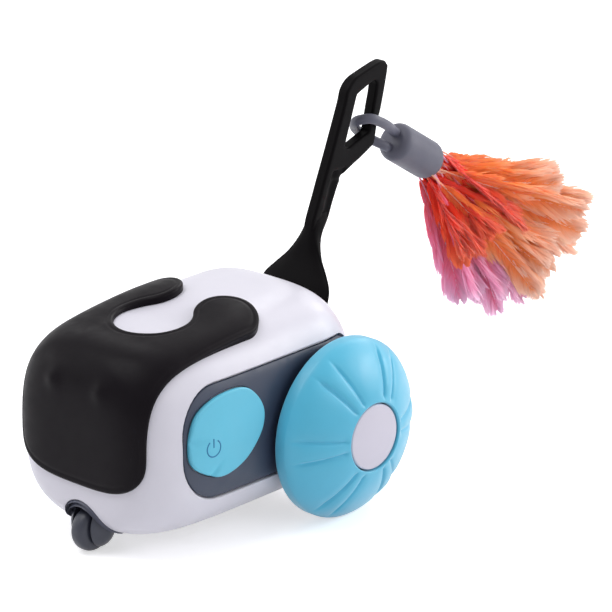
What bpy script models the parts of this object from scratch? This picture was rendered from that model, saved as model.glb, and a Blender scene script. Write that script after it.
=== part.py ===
"""A remote control cat toy: a small car with two large soft wheels, a cat-face cover,
a front caster and a tail that carries a bunch of feathers on a strap.
Metres, +Z up. The nose points to -Y, so the car's left side is +X."""
import math

import bmesh
import bpy
from mathutils import Matrix, Vector

CLEARANCE = 0.0003
OVERRUN = 0.012
MERGE = 0.00001
SIDES = (("left", 1), ("right", -1))

# Body form, a box rounded by superellipses, measured from the wheel axle
NOSE_REACH = 0.0675
BACK_REACH = 0.0193
WIDEST_Y = -0.0023
BODY_HALF_WIDTH = 0.029
BODY_BOTTOM_Z = 0.0031
BODY_MIDDLE_Z = 0.0271
BODY_TOP_Z = 0.0597
NOSE_POWER = 5.78
BACK_POWER = 2.59
ROOF_POWER = 3.25
BELLY_POWER = 2.72
SHELL_WALL = 0.0024

# Wheels, standing out from the body's sides
WHEEL_RADIUS = 0.025
WHEEL_GAP = 0.0009
WHEEL_SHOULDER = 0.0039
WHEEL_DEPTH = 0.0104
RIM_X = BODY_HALF_WIDTH + WHEEL_GAP
WHEEL_X = RIM_X + WHEEL_SHOULDER
WHEEL_FACE_X = WHEEL_X + WHEEL_DEPTH
RIM_ROLL = 0.0016
RIM_RADIUS = WHEEL_RADIUS - RIM_ROLL
DOME_POWER = 1.43
TYRE_WALL = 0.0024
CAP_RADIUS = 0.0091
CAP_THICKNESS = 0.0022
CAP_CROWN = 0.0004
AXLE_RADIUS = 0.0015
AXLE_START_X = 0.002
AXLE_SINK = 0.0037
GROOVE = 0.0004
CORE_HUB_RADIUS = 0.005
CORE_WEB = 0.002

# Drive
GEAR_TEETH = 32
PINION_TEETH = 8
TOOTH_MODULE = 0.0006
GEAR_INSET = 0.0085
GEAR_X = BODY_HALF_WIDTH - GEAR_INSET
GEAR_WIDTH = 0.0026
MOTOR_RADIUS = 0.006
MOTOR_START_X = 0.0018
MOTOR_GAP = 0.0029
SHAFT_RADIUS = 0.0005
FRAME_HALF_WIDTH = 0.0095
FRAME_WALL = 0.0016
BUSH_RADIUS = 0.0035
BUSH_FLANGE = 0.0048
BUSH_RIM = 0.0006
LINK_HEIGHT = 0.006

# Caster
CASTER_INSET = 0.005
CASTER_Y = CASTER_INSET - NOSE_REACH
CASTER_TRAIL = 0.0008
CASTER_RADIUS = 0.0061
CASTER_HALF_WIDTH = 0.0022
CASTER_TREAD_POWER = 2.6
FORK_CHEEK = 0.0005
FORK_RADIUS = CASTER_RADIUS + FORK_CHEEK
FORK_LIFT = 0.0012
FORK_CROWN = 0.0014
FORK_CROWN_RADIUS = 0.0034
FORK_GAP = 0.0004
SPINDLE_SEAT = 0.0021
SPINDLE_RADIUS = 0.0008
STEM_RADIUS = 0.0015
STEM_HEAD_RADIUS = 0.0027
STEM_HEAD = 0.0012
WELL_WALL = 0.0011
WELL_RADIUS = FORK_RADIUS + CASTER_TRAIL + CLEARANCE + WELL_WALL
WELL_SPRING_Z = 0.005
WELL_HEADROOM = 0.0011
WELL_TOP_Z = CASTER_RADIUS * 2 + FORK_GAP + FORK_CROWN + WELL_HEADROOM + WELL_WALL
WELL_POWER = 2.4
WELL_LIP = 0.0006

# Belly plate and what stands on it
PLATE_HALF_WIDTH = 0.0125
PLATE_WELL_GAP = 0.0082
PLATE_FRONT_Y = CASTER_Y + WELL_RADIUS + PLATE_WELL_GAP
PLATE_BACK_Y = 0.0058
PLATE_SINK = 0.0005
PLATE_BOTTOM_Z = BODY_BOTTOM_Z + PLATE_SINK
PLATE_THICKNESS = 0.0018
PLATE_CORNER = 0.004
SCREW_RADIUS = 0.0008
SCREW_HEAD_RADIUS = 0.0015
SCREW_HEAD = 0.0008
SCREW_LENGTH = 0.005
SCREW_INSET = 0.0028
SCREW_SINK = 0.0002
POST_X = 0.0102
POST_RADIUS = 0.0022
BATTERY_INSET = 0.0006
BATTERY_HALF_WIDTH = 0.0075
BATTERY_HEIGHT = 0.0085
BOARD_NOSE_INSET = 0.011
BOARD_SIDE_INSET = 0.0068
BOARD_HALF_WIDTH = BODY_HALF_WIDTH - BOARD_SIDE_INSET
BOARD_GAP = 0.0019
BOARD_THICKNESS = 0.0014

# Face cover
MASK_LIFT = 0.0015
MASK_SIDE_INSET = 0.0066
MASK_HALF_WIDTH = BODY_HALF_WIDTH - MASK_SIDE_INSET
MASK_BROW_RISE = 0.0061
MASK_CHIN_DROP = 0.014
MASK_CHIN_POWER = 3.2
LOBE_INSET = 0.0435
LOBE_Y = LOBE_INSET - NOSE_REACH
LOBE_RADIUS = 0.0087
TONGUE_RADIUS = 0.0114
EYE_X = 0.0087
EYE_DROP = 0.0122
EYE_Z = BODY_TOP_Z - EYE_DROP
EYE_RADIUS = 0.0027
EYE_LIFT = 0.0009

# Side panels, the button and the port cover
PANEL_SINK = 0.00015
PANEL_DEPTH = 0.0015
PANEL_NOSE_INSET = 0.0092
PANEL_FRONT_Y = PANEL_NOSE_INSET - NOSE_REACH
PANEL_BACK_INSET = 0.0088
PANEL_BACK_Y = BACK_REACH - PANEL_BACK_INSET
PANEL_TOP_INSET = 0.0112
PANEL_TOP_Z = BODY_TOP_Z - PANEL_TOP_INSET
PANEL_BOTTOM_INSET = 0.0131
PANEL_BOTTOM_Z = BODY_BOTTOM_Z + PANEL_BOTTOM_INSET
PANEL_BROW_RADIUS = 0.0125
PANEL_CHIN_RADIUS = 0.0145
PANEL_BACK_RADIUS = 0.006
PAD_NOSE_INSET = 0.00105
PAD_WHEEL_GAP = 0.00275
PAD_TOP_INSET = 0.0026
PAD_BOTTOM_INSET = 0.0069
PAD_FRONT_Y = PANEL_FRONT_Y + PAD_NOSE_INSET
PAD_BACK_Y = -WHEEL_RADIUS - PAD_WHEEL_GAP
PAD_TOP_Z = PANEL_TOP_Z - PAD_TOP_INSET
PAD_BOTTOM_Z = PANEL_BOTTOM_Z + PAD_BOTTOM_INSET
PAD_Y = (PAD_FRONT_Y + PAD_BACK_Y) / 2
PAD_Z = (PAD_TOP_Z + PAD_BOTTOM_Z) / 2
PAD_RISE = 0.001
PAD_THICKNESS = 0.0012
PAD_TRAVEL = 0.0007
PLUNGER_RADIUS = 0.002
SWITCH_SIZE = 0.006
SWITCH_RISE = 0.0045
BOARD_Z = PAD_Z - SWITCH_RISE
SWITCH_LENGTH = 0.004
SWITCH_STEM = 0.0011
PORT_WIDTH = 0.009
PORT_HEIGHT = 0.0032
PORT_DEPTH = 0.0073
PORT_INSET = 0.0023
PORT_MOUTH_X = BODY_HALF_WIDTH - PORT_INSET
PORT_LIP = 0.0003

# Tail, a flat loop on a flared foot
TAIL_SETBACK = 0.0022
TAIL_FRONT_Y = BACK_REACH + TAIL_SETBACK
TAIL_LIFT = 0.0083
TAIL_FOOT_Z = BODY_TOP_Z + TAIL_LIFT
TAIL_REACH = 0.031
TAIL_RISE = 0.042
TAIL_THICKNESS = 0.0036
TAIL_EDGE = 0.0009
WINDOW_CORNER = 0.0012
FLARE_INSET = 0.0061
FLARE_FRONT_Y = BACK_REACH - FLARE_INSET
FLARE_DROP = 0.0137
FLARE_BOTTOM_Z = BODY_TOP_Z - FLARE_DROP
FLARE_RISE = 0.026
FLARE_LEAN = 0.0098
FLARE_HALF_WIDTH = 0.0126
STEM_DEPTH = 0.006
TANG_HALF_WIDTH = 0.006
TANG_INSET = 0.0057
TANG_FRONT_Y = BACK_REACH - TANG_INSET
TANG_THICKNESS = 0.0022
TANG_REACH = 0.006
TANG_BOTTOM_Z = FLARE_BOTTOM_Z - TANG_REACH
TANG_SEAT = 0.0055
TANG_TOP_Z = FLARE_BOTTOM_Z + TANG_SEAT

# Lure: strap, holder and plumes
HOLDER_PITCH = -32.6
HOLDER_RADIUS = 0.00545
HOLDER_LENGTH = 0.0163
HOLDER_ROUND = 0.0026
STRAP_RADIUS = 0.0015
STRAP_GAP = 0.0008
STRAP_HALF_WIDTH = TAIL_THICKNESS / 2 + STRAP_GAP + STRAP_RADIUS
STRAP_RISE = 0.0023
PLUME_LENGTH = 0.066
PLUME_HALF_DEPTH = 0.0071
PLUME_HALF_WIDTH = 0.0175
QUILL_RADIUS = 0.0007
QUILL_SPACING = 0.0023

PAD_SHARES = ((-1.0, -0.2), (-0.93, -0.52), (-0.72, -0.76), (-0.28, -1.0), (0.14, -0.96),
              (0.56, -0.71), (0.9, -0.25), (1.0, 0.2), (0.88, 0.6), (0.6, 0.92),
              (0.2, 1.0), (-0.32, 0.93), (-0.76, 0.68), (-0.96, 0.25))
TAIL_SHARES = ((0.0, 0.0), (0.11, 0.22), (0.268, 0.495), (0.423, 0.774), (0.468, 0.871),
               (0.55, 0.93), (0.677, 0.96), (0.93, 1.0), (0.99, 0.975), (1.0, 0.929),
               (0.919, 0.693), (0.868, 0.595), (0.826, 0.462), (0.768, 0.429), (0.629, 0.381),
               (0.532, 0.352), (0.397, 0.293), (0.3, 0.212), (0.223, 0.057), (0.174, -0.04))
WINDOW_SHARES = ((0.416, 0.455), (0.755, 0.538), (0.819, 0.714), (0.852, 0.8),
                 (0.884, 0.931), (0.597, 0.838))
# Height, half width, front edge and depth of each section, from the foot up
FLARE_SHARES = ((0.0, 1.0, 0.0, 0.52), (0.154, 1.0, 0.071, 0.5), (0.308, 0.952, 0.276, 0.35),
                (0.442, 0.73, 0.459, 0.35), (0.577, 0.476, 0.612, 0.38),
                (0.75, 0.262, 0.735, 0.68), (0.923, 0.167, 0.929, 1.0), (1.0, 0.155, 1.0, 0.98))
# Where the holder's face and the strap's bend lie along the tail, and the strap's reach
# as a share of the way from one to the other
HOLDER_SHARES = (1.1355, 0.4167)
LURE_SHARES = (0.8355, 0.5952)
STRAP_REACH_SHARE = 1.4731
# Across, out from the holder's face and up it
STRAP_SHARES = ((0.1, 0.01, 1.0), (0.12, 0.11, 1.0), (0.76, 0.457, 0.9), (0.98, 0.63, 0.84),
                (1.0, 0.8, 0.78), (0.8, 1.0, 0.6), (0.0, 1.05, -0.1), (-0.7, 0.86, -0.5),
                (-1.0, 0.65, -0.74), (-0.75, 0.36, -0.95), (-0.14, 0.12, -1.0), (-0.1, 0.01, -1.0))
# Pitch in degrees, length and place across the holder's end
PLUME_SHARES = (("feather_orange", -24, 0.97, 1), ("feather_red", -41, 1.0, 0),
                ("feather_pink", -58, 0.9, -1))

FORM_AROUND = 28
FORM_ALONG = 20
INNER_AROUND = 16
INNER_ALONG = 12


def signed_power(value, power):
    return math.copysign(abs(value) ** (2 / power), value)


def form_point(unit, grow):
    """A point of the unit sphere, its pole at +Z, taken to the body form with its nose at -Y."""
    ring = math.hypot(unit.x, unit.y)
    across, up = (unit.x / ring, unit.y / ring) if ring > MERGE else (1, 0)
    nose = unit.z > 0
    length = NOSE_REACH + WIDEST_Y if nose else BACK_REACH - WIDEST_Y
    power = NOSE_POWER if nose else BACK_POWER
    section = ROOF_POWER if up > 0 else BELLY_POWER
    height = BODY_TOP_Z - BODY_MIDDLE_Z if up > 0 else BODY_MIDDLE_Z - BODY_BOTTOM_Z
    size = ring ** (2 / power)
    x = size * (BODY_HALF_WIDTH + grow) * signed_power(across, section)
    y = WIDEST_Y - (length + grow) * signed_power(unit.z, power)
    z = BODY_MIDDLE_Z + size * (height + grow) * signed_power(up, section)
    return Vector((x, y, z))


def stock(name, bm):
    """A mesh object in the car's own coordinates, kept with the cutters until it is finished."""
    mesh = bpy.data.meshes.new(name)
    bm.to_mesh(mesh)
    bm.free()
    obj = bpy.data.objects.new(name, mesh)
    CUTTERS.objects.link(obj)
    obj.parent = CAR
    obj.hide_render = True
    obj.display_type = "WIRE"
    return obj


def form(name, grow, around=FORM_AROUND, along=FORM_ALONG):
    bm = bmesh.new()
    bmesh.ops.create_uvsphere(bm, u_segments=around, v_segments=along, radius=1)
    for vert in bm.verts:
        vert.co = form_point(vert.co, grow)
    return stock(name, bm)


def block(name, low, high):
    bm = bmesh.new()
    bmesh.ops.create_cube(bm, size=1)
    low, high = Vector(low), Vector(high)
    for vert in bm.verts:
        vert.co = (low + high) / 2 + vert.co * (high - low)
    return stock(name, bm)


def rod(name, radius, start, end, sides=16):
    start, end = Vector(start), Vector(end)
    way = end - start
    bm = bmesh.new()
    bmesh.ops.create_cone(bm, cap_ends=True, segments=sides, radius1=radius, radius2=radius,
                          depth=way.length)
    turn = way.to_track_quat("Z", "Y").to_matrix().to_4x4()
    bm.transform(Matrix.Translation((start + end) / 2) @ turn)
    return stock(name, bm)


def turned(name, profile, frame, steps, closed=False):
    """A profile of radius and height turned about its own Z, outer side from the top down."""
    bm = bmesh.new()
    verts = [bm.verts.new((radius, 0, height)) for radius, height in profile]
    pairs = list(zip(verts, verts[1:]))
    if closed:
        pairs.append((verts[-1], verts[0]))
    for pair in pairs:
        bm.edges.new(pair)
    obj = stock(name, bm)
    obj.matrix_basis = frame
    screw = obj.modifiers.new("Turn", "SCREW")
    screw.steps = screw.render_steps = steps
    screw.use_merge_vertices = True
    screw.merge_threshold = MERGE
    return obj


def solid(curve, sides_frame):
    """The curve's mesh with its caps welded, in the car's coordinates."""
    bpy.context.view_layer.update()
    evaluated = curve.evaluated_get(bpy.context.evaluated_depsgraph_get())
    mesh = bpy.data.meshes.new_from_object(evaluated)
    bm = bmesh.new()
    bm.from_mesh(mesh)
    bmesh.ops.remove_doubles(bm, verts=bm.verts, dist=MERGE)
    bm.transform(sides_frame)
    name = curve.name
    bpy.data.objects.remove(curve)
    bpy.data.meshes.remove(mesh)
    return stock(name, bm)


def plate(name, outlines, half, frame):
    """Flat outlines, the first with the others as holes, thickened by half each way."""
    data = bpy.data.curves.new(name, "CURVE")
    data.dimensions = "2D"
    data.fill_mode = "BOTH"
    data.extrude = half
    for outline in outlines:
        spline = data.splines.new("POLY")
        spline.points.add(len(outline) - 1)
        for point, (x, y) in zip(spline.points, outline):
            point.co = (x, y, 0, 1)
        spline.use_cyclic_u = True
    curve = bpy.data.objects.new(name, data)
    CUTTERS.objects.link(curve)
    return solid(curve, frame)


def tube(name, points, radius, fineness=2):
    data = bpy.data.curves.new(name, "CURVE")
    data.dimensions = "3D"
    data.bevel_depth = radius
    data.bevel_resolution = fineness
    data.use_fill_caps = True
    spline = data.splines.new("POLY")
    spline.points.add(len(points) - 1)
    for point, place in zip(spline.points, points):
        point.co = (*place, 1)
    curve = bpy.data.objects.new(name, data)
    CUTTERS.objects.link(curve)
    return solid(curve, Matrix.Identity(4))


def use(obj, tool, operation="DIFFERENCE"):
    boolean = obj.modifiers.new(operation.title(), "BOOLEAN")
    boolean.operation = operation
    boolean.object = tool
    return obj


def material(name, colour, roughness, metallic=0.0):
    found = bpy.data.materials.get(name)
    if found:
        return found
    made = bpy.data.materials.new(name)
    made.use_nodes = True
    shader = made.node_tree.nodes["Principled BSDF"]
    shader.inputs["Base Color"].default_value = (*colour, 1)
    shader.inputs["Roughness"].default_value = roughness
    shader.inputs["Metallic"].default_value = metallic
    made.diffuse_color = (*colour, 1)
    return made


def finish(obj, name, look, pivot=None):
    """Makes the object one of the toy's pieces, hung from the empty on its joint's axis."""
    obj.name = name
    obj.data.name = name
    CUTTERS.objects.unlink(obj)
    PARTS.objects.link(obj)
    obj.hide_render = False
    obj.display_type = "TEXTURED"
    obj.data.materials.clear()
    obj.data.materials.append(material(name, *look))
    obj.data.shade_smooth()
    if pivot:
        obj.parent = pivot
        obj.matrix_parent_inverse = Matrix.Translation(-pivot.matrix_basis.translation)
    return obj


def axis_empty(name, place, parent=None):
    empty = bpy.data.objects.new(name, None)
    CUTTERS.objects.link(empty)
    empty.parent = parent or CAR
    empty.location = place
    return empty


def catmull(points, steps, closed):
    """A smooth line through the points, in as many dimensions as they have."""
    count = len(points)
    smooth = []
    for index in range(count if closed else count - 1):
        near = [points[(index + k) % count] if closed else points[min(max(index + k, 0), count - 1)]
                for k in (-1, 0, 1, 2)]
        for step in range(steps):
            t = step / steps
            weights = (-t ** 3 + 2 * t ** 2 - t, 3 * t ** 3 - 5 * t ** 2 + 2,
                       -3 * t ** 3 + 4 * t ** 2 + t, t ** 3 - t ** 2)
            smooth.append(tuple(sum(w * p[axis] for w, p in zip(weights, near)) / 2
                                for axis in range(len(points[0]))))
    if not closed:
        smooth.append(tuple(points[-1]))
    return smooth


def arc(centre, radius, start, end, steps):
    turns = [math.radians(start + (end - start) * step / steps) for step in range(steps + 1)]
    return [(centre[0] + radius * math.cos(a), centre[1] + radius * math.sin(a)) for a in turns]


def rounded(points, radii, steps=3):
    """The outline with each corner rounded by its own radius."""
    outline = []
    for index, corner in enumerate(points):
        here = Vector(corner)
        before = (Vector(points[index - 1]) - here).normalized()
        after = (Vector(points[(index + 1) % len(points)]) - here).normalized()
        half = before.angle(after) / 2
        middle = here + (before + after).normalized() * radii[index] / math.sin(half)
        first = here + before * radii[index] / math.tan(half) - middle
        last = here + after * radii[index] / math.tan(half) - middle
        for step in range(steps + 1):
            way = first.slerp(last, step / steps).normalized() * radii[index]
            outline.append(tuple(middle + way))
    return outline


def grown(outline, by):
    """The outline moved out by a distance, whichever way round it runs."""
    area = sum(a[0] * b[1] - b[0] * a[1] for a, b in zip(outline, outline[1:] + outline[:1]))
    sense = by if area > 0 else -by
    moved = []
    for index, here in enumerate(outline):
        before = Vector(outline[index - 1])
        after = Vector(outline[(index + 1) % len(outline)])
        first = (Vector(here) - before).normalized()
        last = (after - Vector(here)).normalized()
        normal = Vector((first.y + last.y, -first.x - last.x)).normalized()
        stretch = max(normal.dot(Vector((first.y, -first.x))), 0.5)
        moved.append((here[0] + normal.x * sense / stretch, here[1] + normal.y * sense / stretch))
    return moved


SIDE_VIEW = Matrix(((0, 0, 1, 0), (1, 0, 0, 0), (0, 1, 0, 0), (0, 0, 0, 1)))
FRONT_VIEW = Matrix(((1, 0, 0, 0), (0, 0, -1, 0), (0, 1, 0, 0), (0, 0, 0, 1)))
TOP_VIEW = Matrix.Identity(4)
GLOSSY, SATIN, MATT = 0.2, 0.4, 0.75
WHITE = ((0.74, 0.73, 0.8), SATIN)
DARK = ((0.022, 0.02, 0.024), GLOSSY)
SLATE = ((0.05, 0.06, 0.1), SATIN)
BLUE = ((0.14, 0.48, 0.68), SATIN)
TYRE_BLUE = ((0.12, 0.44, 0.66), MATT)
LILAC = ((0.67, 0.64, 0.76), SATIN)
GREY = ((0.11, 0.11, 0.16), SATIN)
NYLON = ((0.75, 0.73, 0.68), SATIN)
STEEL = ((0.6, 0.6, 0.6), GLOSSY, 1.0)
BRASS = ((0.75, 0.55, 0.25), GLOSSY, 1.0)
BOARD_GREEN = ((0.02, 0.16, 0.07), SATIN)
FOIL = ((0.3, 0.32, 0.36), SATIN)


def at(place, view=TOP_VIEW):
    return Matrix.Translation(place) @ view


def side_frame(side, place):
    """Local Z points out of the car on that side."""
    return Matrix.Translation(place) @ Matrix.Rotation(math.radians(90 * side), 4, "Y")


def side_x(y, z, grow=0):
    """Half width of the body form at a place seen from the side."""
    nose = y < WIDEST_Y
    power = NOSE_POWER if nose else BACK_POWER
    length = (NOSE_REACH + WIDEST_Y if nose else BACK_REACH - WIDEST_Y) + grow
    along = (abs(y - WIDEST_Y) / length) ** (power / 2)
    size = (1 - along ** 2) ** (1 / power)
    upper = z > BODY_MIDDLE_Z
    section = ROOF_POWER if upper else BELLY_POWER
    height = (BODY_TOP_Z - BODY_MIDDLE_Z if upper else BODY_MIDDLE_Z - BODY_BOTTOM_Z) + grow
    rise = abs(z - BODY_MIDDLE_Z) / (size * height)
    return size * (BODY_HALF_WIDTH + grow) * (1 - rise ** section) ** (1 / section)


def front_y(x, z, grow=0):
    """Front surface of the body form at a place above its middle, seen from the front."""
    width = BODY_HALF_WIDTH + grow
    height = BODY_TOP_Z - BODY_MIDDLE_Z + grow
    size = ((x / width) ** ROOF_POWER + ((z - BODY_MIDDLE_Z) / height) ** ROOF_POWER)
    ring = size ** (NOSE_POWER / 2 / ROOF_POWER)
    return WIDEST_Y - (NOSE_REACH + WIDEST_Y + grow) * (1 - ring ** 2) ** (1 / NOSE_POWER)


def ball(name, radius, centre, around=20, along=12):
    bm = bmesh.new()
    bmesh.ops.create_uvsphere(bm, u_segments=around, v_segments=along, radius=radius)
    bm.transform(Matrix.Translation(centre))
    return stock(name, bm)


def belly_outline():
    corners = [(-PLATE_HALF_WIDTH, PLATE_FRONT_Y), (PLATE_HALF_WIDTH, PLATE_FRONT_Y),
               (PLATE_HALF_WIDTH, PLATE_BACK_Y), (-PLATE_HALF_WIDTH, PLATE_BACK_Y)]
    return rounded(corners, [PLATE_CORNER] * 4)


def panel_outline():
    corners = [(PANEL_FRONT_Y, PANEL_BOTTOM_Z), (PANEL_BACK_Y, PANEL_BOTTOM_Z),
               (PANEL_BACK_Y, PANEL_TOP_Z), (PANEL_FRONT_Y, PANEL_TOP_Z)]
    radii = [PANEL_CHIN_RADIUS, PANEL_BACK_RADIUS, PANEL_BACK_RADIUS, PANEL_BROW_RADIUS]
    return rounded(corners, radii, 5)


def pad_outline():
    length, height = PAD_BACK_Y - PAD_FRONT_Y, PAD_TOP_Z - PAD_BOTTOM_Z
    points = [(PAD_Y + y * length / 2, PAD_Z + z * height / 2) for y, z in PAD_SHARES]
    return catmull(points, 2, closed=True)


def face_outline():
    """The cover seen from above: two lobes round a tongue of the shell."""
    lobe = (MASK_HALF_WIDTH - LOBE_RADIUS, LOBE_Y)
    reach = LOBE_RADIUS + TONGUE_RADIUS
    tongue = (0, LOBE_Y - math.sqrt(reach ** 2 - lobe[0] ** 2))
    touch = math.degrees(math.atan2(tongue[1] - lobe[1], -lobe[0]))
    half = [(MASK_HALF_WIDTH, -NOSE_REACH - OVERRUN)]
    half += arc(lobe, LOBE_RADIUS, 0, touch + 360, 12)
    half += arc(tongue, TONGUE_RADIUS, touch + 180, -90, 8)[1:]
    return half + [(-x, y) for x, y in reversed(half[:-1])]


def chin_outline():
    """The cover seen from the front."""
    brow = BODY_MIDDLE_Z + MASK_BROW_RISE
    turns = [math.radians(-180 * step / 16) for step in range(17)]
    chin = [(MASK_HALF_WIDTH * signed_power(math.cos(turn), MASK_CHIN_POWER),
             brow + MASK_CHIN_DROP * signed_power(math.sin(turn), MASK_CHIN_POWER))
            for turn in turns]
    top = BODY_TOP_Z + OVERRUN
    return chin + [(-MASK_HALF_WIDTH, top), (MASK_HALF_WIDTH, top)]


def well_profile(wall, grow=0):
    radius, rise = WELL_RADIUS - wall + grow, WELL_TOP_Z - WELL_SPRING_Z - wall + grow
    turns = [math.radians(90 - 90 * step / 6) for step in range(7)]
    curve = [(radius * signed_power(max(math.cos(turn), 0), WELL_POWER),
              WELL_SPRING_Z + rise * signed_power(math.sin(turn), WELL_POWER)) for turn in turns]
    curve[0] = (0, WELL_SPRING_Z + rise)
    return curve + [(radius, -OVERRUN), (0, -OVERRUN)]


def bush_hole(name, side):
    start = (side * GEAR_X, 0, WHEEL_RADIUS)
    end = (side * (BODY_HALF_WIDTH + OVERRUN), 0, WHEEL_RADIUS)
    return rod(name, BUSH_RADIUS + CLEARANCE, start, end, 20)


def pad_hole(name, side):
    outline = grown(pad_outline(), CLEARANCE)
    return plate(name, [outline], OVERRUN, at((side * BODY_HALF_WIDTH, 0, 0), SIDE_VIEW))


def port_block(name, grow, inner_x, outer_x, z):
    y = PORT_WIDTH / 2 + grow
    height = PORT_HEIGHT / 2 + grow
    return block(name, (-outer_x, PAD_Y - y, z - height), (-inner_x, PAD_Y + y, z + height))


def make_shell():
    shell = form("shell", 0)
    use(shell, form("cavity", -SHELL_WALL, INNER_AROUND, INNER_ALONG))
    reach = (BODY_HALF_WIDTH + OVERRUN, BACK_REACH + OVERRUN, PLATE_BOTTOM_Z)
    use(shell, block("flat_bottom", (-reach[0], -NOSE_REACH - OVERRUN, -OVERRUN), reach))
    opening = [grown(belly_outline(), CLEARANCE)]
    height = PLATE_BOTTOM_Z + PLATE_THICKNESS
    use(shell, plate("belly_opening", opening, height, at((0, 0, PLATE_BOTTOM_Z))))
    well = at((0, CASTER_Y, 0))
    use(shell, turned("well_hole", well_profile(0, CLEARANCE), well, 20))
    use(shell, rod("head_room", STEM_HEAD_RADIUS + CLEARANCE, (0, CASTER_Y, WELL_SPRING_Z),
                   (0, CASTER_Y, WELL_TOP_Z + STEM_HEAD + OVERRUN), 20))
    tang = (TANG_HALF_WIDTH + CLEARANCE, TANG_FRONT_Y + TANG_THICKNESS + CLEARANCE,
            TANG_TOP_Z + OVERRUN)
    low = (-tang[0], TANG_FRONT_Y - CLEARANCE, TANG_BOTTOM_Z - CLEARANCE)
    use(shell, block("tang_slot", low, tang))
    for name, side in SIDES:
        pocket = plate(name + "_pocket", [panel_outline()], OVERRUN,
                       at((side * BODY_HALF_WIDTH, 0, 0), SIDE_VIEW))
        use(pocket, form(name + "_pocket_floor", -PANEL_DEPTH))
        use(shell, pocket)
        use(shell, bush_hole(name + "_shell_bush_hole", side))
    start = (GEAR_X, PAD_Y, PAD_Z)
    end = (BODY_HALF_WIDTH + OVERRUN, PAD_Y, PAD_Z)
    use(shell, rod("plunger_hole", PLUNGER_RADIUS + CLEARANCE, start, end))
    z = port_z()
    use(shell, port_block("port_hole", CLEARANCE, GEAR_X, BODY_HALF_WIDTH + OVERRUN, z))
    finish(shell, "body_shell", WHITE)


def port_z():
    return BOARD_Z + BOARD_THICKNESS + CLEARANCE + PORT_HEIGHT / 2


def make_mask():
    mask = form("mask", MASK_LIFT)
    front = at((0, -NOSE_REACH, 0), FRONT_VIEW)
    top = at((0, 0, BODY_TOP_Z))
    use(mask, plate("face_from_front", [chin_outline()], NOSE_REACH, front), "INTERSECT")
    use(mask, plate("face_from_top", [face_outline()], BODY_TOP_Z, top), "INTERSECT")
    use(mask, form("mask_back", CLEARANCE))
    radius = (EYE_RADIUS ** 2 + EYE_LIFT ** 2) / EYE_LIFT / 2
    depth = radius - EYE_LIFT
    for name, side in SIDES:
        place = (side * EYE_X, front_y(EYE_X, EYE_Z, MASK_LIFT) + depth, EYE_Z)
        eye = ball(name + "_eye_dome", radius, place)
        use(eye, form(name + "_eye_back", (MASK_LIFT + CLEARANCE) / 2))
        use(mask, eye, "UNION")
    finish(mask, "face_mask", DARK)


def make_panels():
    for name, side in SIDES:
        frame = at((side * BODY_HALF_WIDTH, 0, 0), SIDE_VIEW)
        outline = grown(panel_outline(), -CLEARANCE)
        panel = plate("panel", [outline], OVERRUN, frame)
        use(panel, form(name + "_panel_face", -PANEL_SINK), "INTERSECT")
        use(panel, form(name + "_panel_back", CLEARANCE - PANEL_DEPTH))
        use(panel, pad_hole(name + "_pad_hole", side))
        use(panel, bush_hole(name + "_panel_bush_hole", side))
        finish(panel, "side_panel_" + name, SLATE)


def pad(name, side):
    body = plate(name, [pad_outline()], OVERRUN, at((side * BODY_HALF_WIDTH, 0, 0), SIDE_VIEW))
    use(body, form(name + "_face", PAD_RISE), "INTERSECT")
    return use(body, form(name + "_back", PAD_RISE - PAD_THICKNESS))


def make_button():
    press = axis_empty("button_slide", (side_x(PAD_Y, PAD_Z), PAD_Y, PAD_Z))
    body = pad("button", 1)
    outer = side_x(PAD_Y, PAD_Z, PAD_RISE - PAD_THICKNESS / 2)
    inner = BOARD_HALF_WIDTH + PAD_TRAVEL + CLEARANCE
    use(body, rod("plunger", PLUNGER_RADIUS, (inner, PAD_Y, PAD_Z), (outer, PAD_Y, PAD_Z)), "UNION")
    finish(body, "power_button", BLUE, press)
    floor = BOARD_Z + BOARD_THICKNESS + CLEARANCE
    stem = BOARD_HALF_WIDTH
    face = stem - SWITCH_STEM
    half = SWITCH_SIZE / 2
    low = (face - SWITCH_LENGTH, PAD_Y - half, floor)
    switch = block("switch", low, (face, PAD_Y + half, PAD_Z + half))
    use(switch, rod("switch_stem", PLUNGER_RADIUS, (face - SWITCH_STEM, PAD_Y, PAD_Z),
                    (stem, PAD_Y, PAD_Z)), "UNION")
    finish(switch, "tact_switch", DARK)


def make_port():
    hinge_x = side_x(PAD_FRONT_Y, PAD_Z, PAD_RISE / 2)
    hinge = axis_empty("port_cover_hinge", (-hinge_x, PAD_FRONT_Y, PAD_Z))
    finish(pad("flap", -1), "port_cover", BLUE, hinge)
    z = port_z()
    port = port_block("port", 0, PORT_MOUTH_X - PORT_DEPTH, PORT_MOUTH_X, z)
    back = PORT_MOUTH_X - PORT_DEPTH + PORT_LIP
    use(port, port_block("port_mouth", -PORT_LIP, back, PORT_MOUTH_X + OVERRUN, z))
    finish(port, "usb_port", STEEL)


def dome(radius, face, hub, steps, last=90):
    """The wheel's outside from its hub edge out to its widest ring."""
    turns = [math.radians(last - last * step / steps) for step in range(steps + 1)]
    return [(hub + (radius - hub) * signed_power(max(math.cos(turn), 0), DOME_POWER),
             WHEEL_X + (face - WHEEL_X) * signed_power(math.sin(turn), DOME_POWER))
            for turn in turns]


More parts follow.
